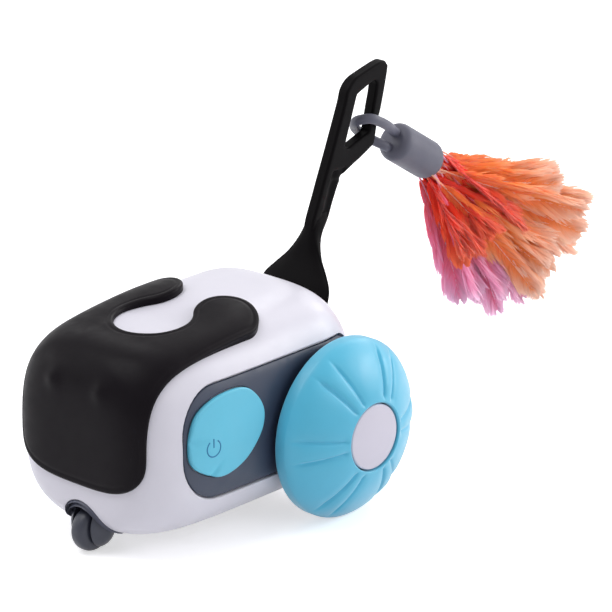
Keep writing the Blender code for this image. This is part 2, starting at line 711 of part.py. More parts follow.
def make_wheel(name, side):
    turn = axis_empty(name + "_wheel_axis", (0, 0, WHEEL_RADIUS))
    frame = side_frame(side, (0, 0, WHEEL_RADIUS))
    hub = CAP_RADIUS + GROOVE
    outer = dome(WHEEL_RADIUS, WHEEL_FACE_X, hub, 6)
    inner = dome(WHEEL_RADIUS - TYRE_WALL, WHEEL_FACE_X - TYRE_WALL, hub, 3)
    roll = [(RIM_RADIUS + RIM_ROLL / 2, RIM_X + RIM_ROLL / 2), (RIM_RADIUS, RIM_X),
            (WHEEL_RADIUS - TYRE_WALL, RIM_X)]
    tyre = turned("tyre", outer + roll + list(reversed(inner)), frame, 36, closed=True)
    finish(tyre, "tyre_" + name, TYRE_BLUE, turn)
    face = WHEEL_FACE_X - TYRE_WALL - CLEARANCE
    rim = WHEEL_RADIUS - TYRE_WALL - CLEARANCE
    bore = AXLE_RADIUS + CLEARANCE
    back = RIM_X + CORE_WEB / 2
    web = dome(rim - CORE_WEB, face - CORE_WEB, CORE_HUB_RADIUS, 2)
    profile = [(bore, face)] + dome(rim, face, hub, 3) + [(rim, back), (rim - CORE_WEB, back)]
    profile += list(reversed(web)) + [(CORE_HUB_RADIUS, back), (bore, back)]
    finish(turned("core", profile, frame, 20, closed=True), "wheel_core_" + name, SLATE, turn)
    crown = WHEEL_FACE_X - CAP_CROWN
    profile = [(0, WHEEL_FACE_X), (CAP_RADIUS / 2, WHEEL_FACE_X - CAP_CROWN / 4),
               (CAP_RADIUS, crown), (CAP_RADIUS, face + CLEARANCE), (0, face + CLEARANCE)]
    finish(turned("cap", profile, frame, 24), "hub_cap_" + name, LILAC, turn)
    start = (side * AXLE_START_X, 0, WHEEL_RADIUS)
    end = (side * (WHEEL_FACE_X - AXLE_SINK), 0, WHEEL_RADIUS)
    finish(rod("axle", AXLE_RADIUS, start, end, 12), "axle_" + name, STEEL, turn)
    gear = gear_plate("gear", GEAR_TEETH, 0.5, bore, (side * GEAR_X, 0, WHEEL_RADIUS))
    finish(gear, "drive_gear_" + name, NYLON, turn)
    inside = side_x(BUSH_FLANGE, WHEEL_RADIUS - BUSH_FLANGE, -SHELL_WALL) - BUSH_RIM
    profile = [(bore, BODY_HALF_WIDTH + BUSH_RIM), (BUSH_RADIUS, BODY_HALF_WIDTH + BUSH_RIM),
               (BUSH_RADIUS, inside), (BUSH_FLANGE, inside), (BUSH_FLANGE, inside - BUSH_RIM),
               (bore, inside - BUSH_RIM)]
    finish(turned("bush", profile, frame, 16, closed=True), "axle_bush_" + name, BRASS)


def gear_plate(name, teeth, phase, bore, place):
    """A spur gear with straight-sided teeth, turned by a share of one tooth."""
    root, tip = teeth / 2 - 1.2, teeth / 2 + 0.85
    outline = []
    for tooth in range(teeth):
        for share, radius in ((-0.27, root), (-0.12, tip), (0.12, tip), (0.27, root)):
            turn = math.tau * (tooth + phase + share) / teeth
            outline.append((radius * TOOTH_MODULE * math.cos(turn),
                            radius * TOOTH_MODULE * math.sin(turn)))
    outlines = [outline]
    if bore:
        outlines.append(arc((0, 0), bore, 0, 330, 11))
    return plate(name, outlines, GEAR_WIDTH / 2, at(place, SIDE_VIEW))


def motor_y():
    return -(GEAR_TEETH + PINION_TEETH) * TOOTH_MODULE / 2


def make_motor(name, side):
    y, z = motor_y(), WHEEL_RADIUS
    frame = side_frame(side, (0, y, z))
    end = GEAR_X - GEAR_WIDTH / 2 - MOTOR_GAP
    profile = [(0, end), (MOTOR_RADIUS, end), (MOTOR_RADIUS, MOTOR_START_X), (0, MOTOR_START_X)]
    finish(turned("can", profile, frame, 20), "motor_" + name, STEEL)
    turn = axis_empty(name + "_pinion_axis", (0, y, z))
    pinion = gear_plate("pinion", PINION_TEETH, 0, 0, (side * GEAR_X, y, z))
    start = (side * (end + CLEARANCE), y, z)
    use(pinion, rod(name + "_shaft", SHAFT_RADIUS * 2, start, (side * GEAR_X, y, z), 8), "UNION")
    finish(pinion, "motor_pinion_" + name, NYLON, turn)


def make_chassis():
    top = PLATE_BOTTOM_Z + PLATE_THICKNESS
    belly = plate("belly", [belly_outline()], PLATE_THICKNESS / 2,
                  at((0, 0, top - PLATE_THICKNESS / 2)))
    front = motor_y() - MOTOR_RADIUS - FRAME_WALL
    back = AXLE_RADIUS + FRAME_WALL
    board_back = front - BOARD_GAP
    posts = [(side * POST_X, y) for name, side in SIDES
             for y in (board_back - POST_RADIUS, PLATE_FRONT_Y + PLATE_CORNER)]
    for number, (x, y) in enumerate(posts):
        post = rod("post_%d" % number, POST_RADIUS, (x, y, PLATE_BOTTOM_Z + PLATE_THICKNESS / 2),
                   (x, y, BOARD_Z - CLEARANCE), 12)
        use(belly, post, "UNION")
    width = FRAME_HALF_WIDTH
    roof = WHEEL_RADIUS + MOTOR_RADIUS + FRAME_WALL
    frame = block("frame", (-width, front, top + CLEARANCE), (width, back, roof))
    hole = FRAME_HALF_WIDTH + OVERRUN
    y, z = motor_y(), WHEEL_RADIUS
    use(frame, rod("motor_hole", MOTOR_RADIUS + CLEARANCE, (-hole, y, z), (hole, y, z), 20))
    use(frame, rod("axle_hole", AXLE_RADIUS + CLEARANCE, (-hole, 0, z), (hole, 0, z), 12))
    use(frame, block("frame_window", (-hole, front + LINK_HEIGHT, top + LINK_HEIGHT),
                     (hole, -FRAME_WALL, z - MOTOR_RADIUS - FRAME_WALL)))
    head = PLATE_BOTTOM_Z + SCREW_SINK
    spots = [(side * (width - SCREW_INSET), y) for name, side in SIDES
             for y in (front + SCREW_INSET, back - SCREW_INSET)]
    for number, (x, y) in enumerate(spots, 1):
        recess = rod("recess_%d" % number, SCREW_HEAD_RADIUS + CLEARANCE, (x, y, -OVERRUN),
                     (x, y, head + SCREW_HEAD + CLEARANCE), 12)
        hole = rod("screw_hole_%d" % number, SCREW_RADIUS + CLEARANCE, (x, y, 0),
                   (x, y, head + SCREW_LENGTH + CLEARANCE), 8)
        use(use(belly, recess), hole)
        use(frame, hole)
        screw = rod("shank", SCREW_RADIUS, (x, y, head), (x, y, head + SCREW_LENGTH), 8)
        cap = rod("screw_head_%d" % number, SCREW_HEAD_RADIUS, (x, y, head),
                  (x, y, head + SCREW_HEAD), 12)
        finish(use(screw, cap, "UNION"), "belly_screw_%d" % number, STEEL)
    finish(belly, "belly_plate", WHITE)
    finish(frame, "motor_frame", SLATE)
    low = (-BATTERY_HALF_WIDTH, PLATE_FRONT_Y + BATTERY_INSET, top + CLEARANCE)
    battery = block("battery", low, (BATTERY_HALF_WIDTH, front - CLEARANCE, low[2] + BATTERY_HEIGHT))
    finish(battery, "battery", FOIL)
    board = block("board", (-BOARD_HALF_WIDTH, BOARD_NOSE_INSET - NOSE_REACH, BOARD_Z),
                  (BOARD_HALF_WIDTH, board_back, BOARD_Z + BOARD_THICKNESS))
    finish(board, "circuit_board", BOARD_GREEN)


def make_caster():
    well_place = at((0, CASTER_Y, 0))
    well = turned("well", well_profile(0), well_place, 20)
    use(well, turned("well_inside", well_profile(WELL_WALL), well_place, 20))
    use(well, form("well_trim", WELL_LIP), "INTERSECT")
    use(well, rod("stem_hole", STEM_RADIUS + CLEARANCE, (0, CASTER_Y, 0),
                  (0, CASTER_Y, WELL_TOP_Z + OVERRUN), 12))
    finish(well, "caster_collar", SLATE)
    swivel = axis_empty("caster_swivel_axis", (0, CASTER_Y, 0))
    y = CASTER_Y - CASTER_TRAIL
    fork = ball("fork", FORK_RADIUS, (0, y, CASTER_RADIUS + FORK_LIFT), 18, 12)
    slot_top = CASTER_RADIUS * 2 + FORK_GAP
    crown = rod("crown", FORK_CROWN_RADIUS, (0, CASTER_Y, slot_top),
                (0, CASTER_Y, slot_top + FORK_CROWN), 20)
    use(fork, crown, "UNION")
    slot = CASTER_HALF_WIDTH + FORK_GAP
    use(fork, block("fork_slot", (-slot, y - OVERRUN, -OVERRUN), (slot, y + OVERRUN, slot_top)))
    reach = slot + SPINDLE_SEAT
    hole = reach + CLEARANCE
    use(fork, rod("spindle_hole", SPINDLE_RADIUS + CLEARANCE, (-hole, y, CASTER_RADIUS),
                  (hole, y, CASTER_RADIUS), 12))
    head = WELL_TOP_Z + CLEARANCE
    use(fork, rod("stem", STEM_RADIUS, (0, CASTER_Y, slot_top + FORK_CROWN / 2),
                  (0, CASTER_Y, head + STEM_HEAD / 2), 12), "UNION")
    use(fork, rod("stem_head", STEM_HEAD_RADIUS, (0, CASTER_Y, head),
                  (0, CASTER_Y, head + STEM_HEAD), 16), "UNION")
    finish(fork, "caster_fork", SLATE, swivel)
    spindle = rod("spindle", SPINDLE_RADIUS, (-reach, y, CASTER_RADIUS),
                  (reach, y, CASTER_RADIUS), 12)
    finish(spindle, "caster_axle", STEEL, swivel)
    roll = axis_empty("caster_wheel_axis", (0, -CASTER_TRAIL, CASTER_RADIUS), swivel)
    core = CASTER_RADIUS / 2
    turns = [math.radians(90 - 180 * step / 6) for step in range(7)]
    tread = CASTER_TREAD_POWER
    profile = [(core + (CASTER_RADIUS - core) * signed_power(max(math.cos(turn), 0), tread),
                CASTER_HALF_WIDTH * signed_power(math.sin(turn), tread)) for turn in turns]
    bore = SPINDLE_RADIUS + CLEARANCE
    profile = [(bore, CASTER_HALF_WIDTH)] + profile + [(bore, -CASTER_HALF_WIDTH)]
    wheel = turned("wheel", profile, side_frame(1, (0, y, CASTER_RADIUS)), 24, closed=True)
    finish(wheel, "caster_wheel", SLATE)
    wheel.parent = roll
    wheel.matrix_parent_inverse = Matrix.Translation((0, -y, -CASTER_RADIUS))


def flare():
    """The tail's foot, lofted through flattened sections from the shell up into the stem."""
    bm = bmesh.new()
    rings = []
    for rise, wide, front, deep in FLARE_SHARES:
        depth = deep * STEM_DEPTH / 2
        middle = FLARE_FRONT_Y + front * FLARE_LEAN + depth
        turns = [math.tau * step / 16 for step in range(16)]
        rings.append([bm.verts.new((wide * FLARE_HALF_WIDTH * signed_power(math.cos(turn), 3),
                                    middle + depth * signed_power(math.sin(turn), 3),
                                    FLARE_BOTTOM_Z + rise * FLARE_RISE)) for turn in turns])
    for low, high in zip(rings, rings[1:]):
        for index in range(len(low)):
            after = (index + 1) % len(low)
            bm.faces.new((low[index], low[after], high[after], high[index]))
    bm.faces.new(reversed(rings[0]))
    bm.faces.new(rings[-1])
    bmesh.ops.recalc_face_normals(bm, faces=bm.faces)
    return stock("flare", bm)


def tail_points(shares):
    return [(TAIL_FRONT_Y + y * TAIL_REACH, TAIL_FOOT_Z + z * TAIL_RISE) for y, z in shares]


def make_tail():
    corners = tail_points(WINDOW_SHARES)
    window = rounded(corners, [WINDOW_CORNER] * len(corners), 2)
    loop = plate("loop", [tail_points(TAIL_SHARES), window], TAIL_THICKNESS / 2,
                 at((0, 0, 0), SIDE_VIEW))
    bevel = loop.modifiers.new("Soft edges", "BEVEL")
    bevel.width = TAIL_EDGE
    bevel.segments = 2
    bevel.limit_method = "ANGLE"
    bevel.angle_limit = math.radians(60)
    foot = use(flare(), form("flare_seat", CLEARANCE))
    use(loop, foot, "UNION")
    tang = block("tang", (-TANG_HALF_WIDTH, TANG_FRONT_Y, TANG_BOTTOM_Z),
                 (TANG_HALF_WIDTH, TANG_FRONT_Y + TANG_THICKNESS, TANG_TOP_Z))
    finish(use(loop, tang, "UNION"), "tail", DARK)


def lure_axes():
    """The holder's face, its axis towards the plumes and its upward direction."""
    pitch = math.radians(HOLDER_PITCH)
    face = Vector((0, *tail_points([HOLDER_SHARES])[0]))
    axis = Vector((0, math.cos(pitch), math.sin(pitch)))
    return face, axis, Vector((0, -axis.z, axis.y))


def plume_root(place):
    face, axis, up = lure_axes()
    return face + axis * (HOLDER_LENGTH + CLEARANCE) + up * place * QUILL_SPACING


def make_plume(name, pitch, length_share, place, parent, look):
    length = PLUME_LENGTH * length_share
    fullest = max(math.sin(turn) * (1 - math.cos(turn))
                  for turn in (math.pi * step / 48 for step in range(48)))
    bm = bmesh.new()
    bmesh.ops.create_uvsphere(bm, u_segments=12, v_segments=10, radius=1)
    for vert in bm.verts:
        ring = math.hypot(vert.co.x, vert.co.y)
        full = ring * (1 + vert.co.z) / fullest
        quill = QUILL_RADIUS * min(1, ring * 4)
        across = max(full * PLUME_HALF_WIDTH, quill) / max(ring, MERGE)
        deep = max(full * PLUME_HALF_DEPTH, quill) / max(ring, MERGE)
        vert.co = (vert.co.x * across, vert.co.y * deep, (1 + vert.co.z) / 2 * length)
    turn = Matrix.Rotation(math.radians(pitch - 90), 4, "X")
    bm.transform(Matrix.Translation(plume_root(place)) @ turn)
    finish(stock("plume", bm), name, look, parent)


def make_lure():
    face, axis, up = lure_axes()
    bend = Vector((0, *tail_points([LURE_SHARES])[0]))
    turn = axis_empty("lure_axis", bend)
    reach = (bend - face).length * STRAP_REACH_SHARE
    route = [(x * STRAP_HALF_WIDTH, out * reach, rise * STRAP_RISE)
             for x, out, rise in STRAP_SHARES]
    points = [face + Vector((x, 0, 0)) - axis * (out + CLEARANCE) + up * rise
              for x, out, rise in catmull(route, 3, closed=False)]
    finish(tube("strap", points, STRAP_RADIUS), "feather_strap", GREY, turn)
    frame = Matrix.Translation(face) @ Matrix.Rotation(math.radians(HOLDER_PITCH - 90), 4, "X")
    edge = HOLDER_ROUND / 4
    end = arc((HOLDER_RADIUS - HOLDER_ROUND, HOLDER_LENGTH - HOLDER_ROUND), HOLDER_ROUND, 90, 0, 4)
    profile = [(0, HOLDER_LENGTH)] + end + [(HOLDER_RADIUS, edge), (HOLDER_RADIUS - edge, 0), (0, 0)]
    finish(turned("holder", profile, frame, 24), "feather_holder", GREY, turn)
    looks = (((0.95, 0.3, 0.07), MATT), ((0.8, 0.06, 0.02), MATT), ((0.9, 0.2, 0.4), MATT))
    for (name, pitch, share, place), look in zip(PLUME_SHARES, looks):
        make_plume(name, pitch, share, place, turn, look)


def middle_y():
    """Where the middle of the toy's length lies from the axle."""
    tips = [plume_root(place).y + PLUME_LENGTH * share * math.cos(math.radians(pitch))
            for name, pitch, share, place in PLUME_SHARES]
    return (max(tips) - NOSE_REACH - MASK_LIFT) / 2


for old in list(bpy.data.objects):
    bpy.data.objects.remove(old, do_unlink=True)
PARTS = bpy.data.collections.new("remote_control_cat_toy")
CUTTERS = bpy.data.collections.new("cutters")
for collection in (PARTS, CUTTERS):
    bpy.context.scene.collection.children.link(collection)
CAR = bpy.data.objects.new("car", None)
CUTTERS.objects.link(CAR)
CAR.location = (0, -middle_y(), 0)

make_shell()
make_mask()
make_panels()
make_button()
make_port()
for side_name, side_sign in SIDES:
    make_wheel(side_name, side_sign)
    make_motor(side_name, side_sign)
make_chassis()
make_caster()
make_tail()
make_lure()
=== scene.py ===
import math

import bmesh
import bpy
import numpy as np
from mathutils import Matrix, Vector, kdtree
from mathutils.geometry import delaunay_2d_cdt


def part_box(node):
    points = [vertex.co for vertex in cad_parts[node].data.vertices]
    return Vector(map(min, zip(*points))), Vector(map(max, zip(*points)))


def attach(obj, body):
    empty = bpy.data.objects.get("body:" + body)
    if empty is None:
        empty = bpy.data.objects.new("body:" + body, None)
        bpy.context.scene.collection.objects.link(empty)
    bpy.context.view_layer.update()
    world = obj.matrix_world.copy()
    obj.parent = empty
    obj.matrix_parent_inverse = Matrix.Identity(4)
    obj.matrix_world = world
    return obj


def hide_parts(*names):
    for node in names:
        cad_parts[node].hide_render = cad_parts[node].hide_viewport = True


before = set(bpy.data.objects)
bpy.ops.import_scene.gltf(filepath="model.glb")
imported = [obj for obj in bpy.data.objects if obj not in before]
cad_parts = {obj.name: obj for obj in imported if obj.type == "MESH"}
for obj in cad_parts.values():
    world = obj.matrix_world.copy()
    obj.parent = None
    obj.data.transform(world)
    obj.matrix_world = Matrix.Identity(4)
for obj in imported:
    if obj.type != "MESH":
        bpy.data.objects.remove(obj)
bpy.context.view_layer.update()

# Places are in metres from the ground under the wheels' axle, nose towards -Y, left towards +X
TYRE_LOW, TYRE_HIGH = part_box("tyre_left")
AXLE_Z = (TYRE_LOW.z + TYRE_HIGH.z) / 2
SHIFT = Vector((0, (TYRE_LOW.y + TYRE_HIGH.y) / 2, 0))
SIDES = (("left", 1), ("right", -1))

# The body's form: its ends, widest place, half width and heights, and the powers of its curves
NOSE, BACK, WIDEST = 0.0675, 0.0193, -0.0023
NOSE_LENGTH, BACK_LENGTH = NOSE + WIDEST, BACK - WIDEST
HALF_WIDTH, BOTTOM, MIDDLE, TOP = 0.029, 0.0031, 0.0271, 0.0597
NOSE_POWER, BACK_POWER, ROOF_POWER, BELLY_POWER = 5.78, 2.59, 3.25, 2.72


# Camera and light

CAMERA_PLACE, CAMERA_TARGET = (0.6724, -0.7150, 0.4095), (0.00463, 0.01576, 0.04832)
SENSOR_WIDTH, LENS, FARTHEST = 36, 226.3, 10
CENTRE, PLUME = (0, 0, 0.04), (0, 0.1, 0.055)
# Each lamp's place, what it points at, its width and height, and its power
LAMPS = {
    "key": ((-0.25, -0.35, 0.95), CENTRE, (0.7, 0.7), 5.4),
    "side": ((0.9, 0.1, 0.5), CENTRE, (0.5, 0.5), 1.3),
    "front": ((-0.95, -0.5, 0.4), CENTRE, (0.6, 0.5), 1.7),
    "back": ((-0.2, 0.85, 0.6), CENTRE, (0.7, 0.4), 3.2),
    "plume": ((0.3, 0.42, 0.25), PLUME, (0.25, 0.25), 1.35),
}
WORLD_COLOUR, WORLD_STRENGTH = (0.96, 0.95, 1, 1), 0.36


def aim(name, data, place, target):
    """Adds a camera or a lamp that points at its target."""
    place, target = Vector(place) + SHIFT, Vector(target) + SHIFT
    obj = bpy.data.objects.new(name, data)
    bpy.context.scene.collection.objects.link(obj)
    obj.location = place
    obj.rotation_euler = (target - place).to_track_quat("-Z", "Y").to_euler()
    return obj


def make_camera():
    data = bpy.data.cameras.new("camera")
    data.sensor_width, data.lens, data.clip_end = SENSOR_WIDTH, LENS, FARTHEST
    bpy.context.scene.camera = aim("camera", data, CAMERA_PLACE, CAMERA_TARGET)
    bpy.context.scene.view_settings.view_transform = "Standard"


def make_lights():
    for name, (place, target, size, power) in LAMPS.items():
        data = bpy.data.lights.new(name, "AREA")
        data.shape = "RECTANGLE"
        data.size, data.size_y = size
        data.energy = power
        aim(name, data, place, target)
    world = bpy.data.worlds.new("studio")
    bpy.context.scene.world = world
    n = Nodes(world)
    n.tree.nodes.clear()
    light = n.new("Background", Color=WORLD_COLOUR, Strength=WORLD_STRENGTH)
    backdrop = n.new("Background", Strength=1)
    mixed = n.new("MixShader", n.seen(), light.outputs[0], backdrop.outputs[0])
    n.new("OutputWorld", mixed.outputs[0])


# Materials

# Most of a noise's values lie between these two
NOISE_LOW, NOISE_HIGH = 0.3, 0.7
# Scale, detail and roughness of the noises
MOTTLE, SMEAR, GRAIN = (90, 5, 0.6), (260, 3, 0.5), (5200, 2, 0.5)
METAL_MOTTLE, METAL_SMEAR, METAL_GRAIN = (300, 4, 0.6), (900, 3, 0.6), (4000, 2, 0.5)


class Nodes:
    """The node tree of a material or a world, with short ways to add to it."""

    def __init__(self, owner):
        owner.use_nodes = True
        self.owner = owner
        self.tree = owner.node_tree
        self.shader = self.tree.nodes.get("Principled BSDF")

    def give(self, socket, value):
        """Links another node's output to a socket, or sets the socket's constant."""
        if isinstance(value, bpy.types.NodeSocket):
            self.tree.links.new(value, socket)
        else:
            socket.default_value = value

    def set(self, **values):
        """Values for the main shader's own sockets."""
        for name, value in values.items():
            self.give(self.shader.inputs[name.replace("_", " ")], value)

    def new(self, kind, *values, **named):
        """A new node, with inputs in their order, then properties and inputs by name."""
        node = self.tree.nodes.new("ShaderNode" + kind)
        for socket, value in zip(node.inputs, values):
            self.give(socket, value)
        for name, value in named.items():
            if hasattr(node, name):
                setattr(node, name, value)
            else:
                self.give(node.inputs[name.replace("_", " ")], value)
        return node

    def noise(self, scale, detail, roughness):
        place = self.new("TexCoord").outputs["Object"]
        node = self.new("TexNoise", Vector=place, Scale=scale, Detail=detail, Roughness=roughness)
        return node.outputs["Fac"]

    def ramp(self, value, low, high):
        """Goes from one colour to another over a noise's range."""
        node = self.new("ValToRGB", value)
        for element, position, colour in zip(node.color_ramp.elements, (NOISE_LOW, NOISE_HIGH), (low, high)):
            element.position = position
            element.color = (*colour, 1)
        return node.outputs["Color"]

    def spread(self, value, low, high):
        """Goes from one number to another over a noise's range."""
        return self.new("MapRange", value, NOISE_LOW, NOISE_HIGH, low, high).outputs["Result"]

    def bump(self, height, distance, strength, normal=None):
        node = self.new("Bump", Strength=strength, Distance=distance, Height=height)
        if normal:
            self.give(node.inputs["Normal"], normal)
        return node.outputs["Normal"]

    def seen(self):
        """1 for camera, glossy and transmission rays and 0 for the others."""
        rays = self.new("LightPath").outputs
        both = self.new("Math", rays["Is Camera Ray"], rays["Is Glossy Ray"], operation="MAXIMUM")
        return self.new("Math", both.outputs[0], rays["Is Transmission Ray"], operation="MAXIMUM").outputs[0]


def linear(rgb):
    return tuple(((c / 255 + 0.055) / 1.055) ** 2.4 if c > 10 else c / 255 / 12.92 for c in rgb)


def shade(rgb, factor):
    return tuple(min(c * factor, 1) for c in linear(rgb))


def plastic(name, rgb, roughness, edge, spread, grain=0.00002, specular=0.5, sheen=0.0):
    """Moulded plastic or rubber: a faint mottle, uneven gloss, a fine grain and soft edges."""
    n = Nodes(bpy.data.materials.new(name))
    bevel = n.new("Bevel", samples=6, Radius=edge)
    n.set(Base_Color=n.ramp(n.noise(*MOTTLE), shade(rgb, 1 - spread), shade(rgb, 1 + spread)),
          Roughness=n.spread(n.noise(*SMEAR), roughness * 0.85, roughness * 1.15),
          Normal=n.bump(n.noise(*GRAIN), grain, 0.5, bevel.outputs["Normal"]),
          Specular_IOR_Level=specular, Sheen_Weight=sheen)
    return n.owner


def metal(name, rgb, roughness):
    n = Nodes(bpy.data.materials.new(name))
    n.set(Base_Color=n.ramp(n.noise(*METAL_MOTTLE), shade(rgb, 0.9), shade(rgb, 1.08)), Metallic=1,
          Roughness=n.spread(n.noise(*METAL_SMEAR), roughness * 0.7, roughness * 1.3),
          Normal=n.bump(n.noise(*METAL_GRAIN), 0.00001, 0.4))
    return n.owner


WHITE = plastic("shell_white", (222, 220, 230), 0.36, 0.0004, 0.015)
BLACK = plastic("mask_black", (17, 13, 18), 0.42, 0.0003, 0.08, specular=0.08)
SLATE = plastic("slate", (50, 58, 78), 0.45, 0.0003, 0.04)
PAD_BLUE = plastic("pad_blue", (98, 195, 223), 0.45, 0.0003, 0.02)
MARK = plastic("pad_mark", (44, 126, 176), 0.5, 0.0003, 0.04)
LILAC = plastic("cap_lilac", (207, 203, 216), 0.42, 0.0003, 0.015)
TYRE_BLUE = plastic("tyre_blue", (80, 185, 218), 0.4, 0.0002, 0.02, sheen=0.35)
TAIL_BLACK = plastic("tail_black", (10, 8, 10), 0.4, 0.0002, 0.1, specular=0.05)
GREY = plastic("grey_rubber", (88, 88, 102), 0.5, 0.0002, 0.04, grain=0.00003)
CASTER = plastic("caster_slate", (50, 53, 66), 0.42, 0.0002, 0.05)
# Painted light: the collar's slate is lighter than the fork's, making up for the shade of the well around it
COLLAR_PAINTED_LIGHT = plastic("collar_slate_painted_light", (84, 87, 104), 0.45, 0.0002, 0.05)
NYLON = plastic("nylon", (215, 212, 205), 0.45, 0.0001, 0.04)
BOARD = plastic("board_green", (25, 85, 50), 0.4, 0.0001, 0.12)
STEEL = metal("steel", (190, 190, 192), 0.28)
BRASS = metal("brass", (205, 170, 100), 0.3)
FOIL = metal("battery_foil", (150, 155, 165), 0.35)


# Lines and outlines

def unit(rows):
    return rows / np.maximum(np.linalg.norm(rows, axis=-1, keepdims=True), 1e-12)


def circle(count):
    return np.linspace(0, math.tau, count, endpoint=False)


def power(value, exponent):
    return np.sign(value) * np.abs(value) ** exponent


def smooth(value):
    """Goes softly from 0 at 0 to 1 at 1."""
    value = np.clip(value, 0, 1)
    return value * value * (3 - 2 * value)


def pick(at, way, line):
    """The places of a line at some of its ways."""
    return np.stack([np.interp(at, way, line[:, k]) for k in range(line.shape[1])], -1)


def ways(*steps):
    """How far along a line each of its points lies, from the steps between them."""
    return np.concatenate(([0], np.cumsum(np.linalg.norm(np.stack(steps, -1), axis=-1))))


def resample(points, spacing, closed=True):
    points = np.asarray(points, float)
    line = np.vstack((points, points[:1])) if closed else points
    way = ways(*np.diff(line, axis=0).T)
    count = max(int(round(way[-1] / spacing)), 3)
    at = np.linspace(0, way[-1], count + (0 if closed else 1), endpoint=not closed)
    return pick(at, way, line)


def catmull(points, steps, closed):
    """A smooth line through the points."""
    points = np.asarray(points, float)
    count = len(points)
    ids = np.arange(count if closed else count - 1)
    near = [(ids + k) % count if closed else np.clip(ids + k, 0, count - 1) for k in (-1, 0, 1, 2)]
    t = (np.arange(steps) / steps)[None, :, None]
    weights = (-t ** 3 + 2 * t ** 2 - t, 3 * t ** 3 - 5 * t ** 2 + 2,
               -3 * t ** 3 + 4 * t ** 2 + t, t ** 3 - t ** 2)
    line = sum(w * points[a][:, None] for w, a in zip(weights, near)) / 2
    line = line.reshape(-1, points.shape[1])
    return line if closed else np.vstack((line, points[-1:]))


def arc(centre, radius, start, end, steps):
    turn = np.radians(np.linspace(start, end, steps + 1))
    return np.stack((centre[0] + radius * np.cos(turn), centre[1] + radius * np.sin(turn)), -1)


def rounded(points, radii, steps=10):
    """A closed outline with its corners turned into arcs."""
    outline = []
    for index, corner in enumerate(points):
        here = Vector(corner)
        before = (Vector(points[index - 1]) - here).normalized()
        after = (Vector(points[(index + 1) % len(points)]) - here).normalized()
        half = before.angle(after) / 2
        middle = here + (before + after).normalized() * radii[index] / math.sin(half)
        first = here + before * radii[index] / math.tan(half) - middle
        last = here + after * radii[index] / math.tan(half) - middle
        for step in range(steps + 1):
            way = first.slerp(last, step / steps).normalized() * radii[index]
            outline.append(tuple(middle + way))
    return outline


def area(outline):
    after = np.roll(outline, -1, 0)
    return float(np.sum(outline[:, 0] * after[:, 1] - after[:, 0] * outline[:, 1]) / 2)


def anticlockwise(outline):
    outline = np.asarray(outline, float)
    return outline if area(outline) > 0 else outline[::-1]


def offset(outline, distance):
    """The outline moved out by a distance in its own plane."""
    outline = np.asarray(outline, float)
    along = np.roll(outline, -1, 0) - np.roll(outline, 1, 0)
    out = np.stack((along[:, 1], -along[:, 0]), -1) * (1 if area(outline) > 0 else -1)
    return outline + unit(out) * distance


def inside(points, outline):
    """Which points lie inside the closed outline."""
    x, y = points[:, :1], points[:, 1:]
    x1, y1 = outline.T
    x2, y2 = np.roll(outline, -1, 0).T
    cross = ((y1 > y) != (y2 > y)) & (x < (x2 - x1) * (y - y1) / (y2 - y1 + 1e-18) + x1)
    return np.sum(cross, 1) % 2 == 1


# The body's form

def section(up):
    """Half height and power of the body's section, above its middle or below."""
    return np.where(up, TOP - MIDDLE, MIDDLE - BOTTOM), np.where(up, ROOF_POWER, BELLY_POWER)


def lengthwise(nose):
    """Length and power of the body's profile, towards the nose or the back."""
    return np.where(nose, NOSE_LENGTH, BACK_LENGTH), np.where(nose, NOSE_POWER, BACK_POWER)


def section_radius(turn):
    """The body's section, as a radius for each direction around its middle."""
    height, n = section(np.sin(turn) > 0)
    return (np.abs(np.cos(turn) / HALF_WIDTH) ** n + np.abs(np.sin(turn) / height) ** n) ** (-1 / n)


def profile(share, n, length, radius=0.03):
    """Size and way along at an even share of the profile, from its tip to its widest section."""
    angle = np.linspace(0, math.pi / 2, 4000)
    size, along = np.sin(angle) ** (2 / n), np.cos(angle) ** (2 / n)
    way = ways(np.diff(size) * radius, np.diff(along) * length)
    at = np.interp(share, way / way[-1], angle)
    return np.sin(at) ** (2 / n), np.cos(at) ** (2 / n)


def form(share, turn, nose, grow):
    """A section of the body, at a share of the way from its tip to its widest section."""
    length, n = lengthwise(nose)
    size, along = profile(share, n, length)
    radius = size * section_radius(turn)
    height, _power = section(np.sin(turn) > 0)
    x = radius * np.cos(turn) * (HALF_WIDTH + grow) / HALF_WIDTH
    z = MIDDLE + radius * np.sin(turn) * (height + grow) / height
    y = WIDEST + along * (length + grow) * (-1 if nose else 1)
    return np.stack(np.broadcast_arrays(x, y, z), -1)


def side_x(y, z, grow):
    """Half width of the form at places seen from the side."""
    length, n = lengthwise(y < WIDEST)
    size = np.clip(1 - (np.abs(y - WIDEST) / (length + grow)) ** n, 0, 1) ** (1 / n)
    height, m = section(z > MIDDLE)
    rise = np.abs(z - MIDDLE) / (np.maximum(size, 1e-6) * (height + grow))
    return size * (HALF_WIDTH + grow) * np.clip(1 - rise ** m, 0, 1) ** (1 / m)


def slope(points):
    """Outward normals of the form at points near it."""
    x, y, z = (points - (0, WIDEST, MIDDLE)).T
    height, n = section(z > 0)
    length, p = lengthwise(y < 0)
    a, b = np.abs(x) / HALF_WIDTH, np.abs(z) / height
    lead = p / n * np.maximum(a ** n + b ** n, 1e-12) ** (p / n - 1)
    return unit(np.stack((lead * n * a ** (n - 1) / HALF_WIDTH * np.sign(x),
                          p * (np.abs(y) / length) ** (p - 1) / length * np.sign(y),
                          lead * n * b ** (n - 1) / height * np.sign(z)), -1))


def even_turns(count):
    """Turns that space points evenly around the section."""
    turn = np.linspace(0, math.tau, 4001)
    radius = section_radius(turn)
    way = ways(np.diff(radius * np.cos(turn)), np.diff(radius * np.sin(turn)))
    return np.interp(np.linspace(0, way[-1], count, endpoint=False), way, turn)


# Meshes

# Edges of cut pieces that are sharper than this stay sharp
CUT_EDGE = math.radians(35)


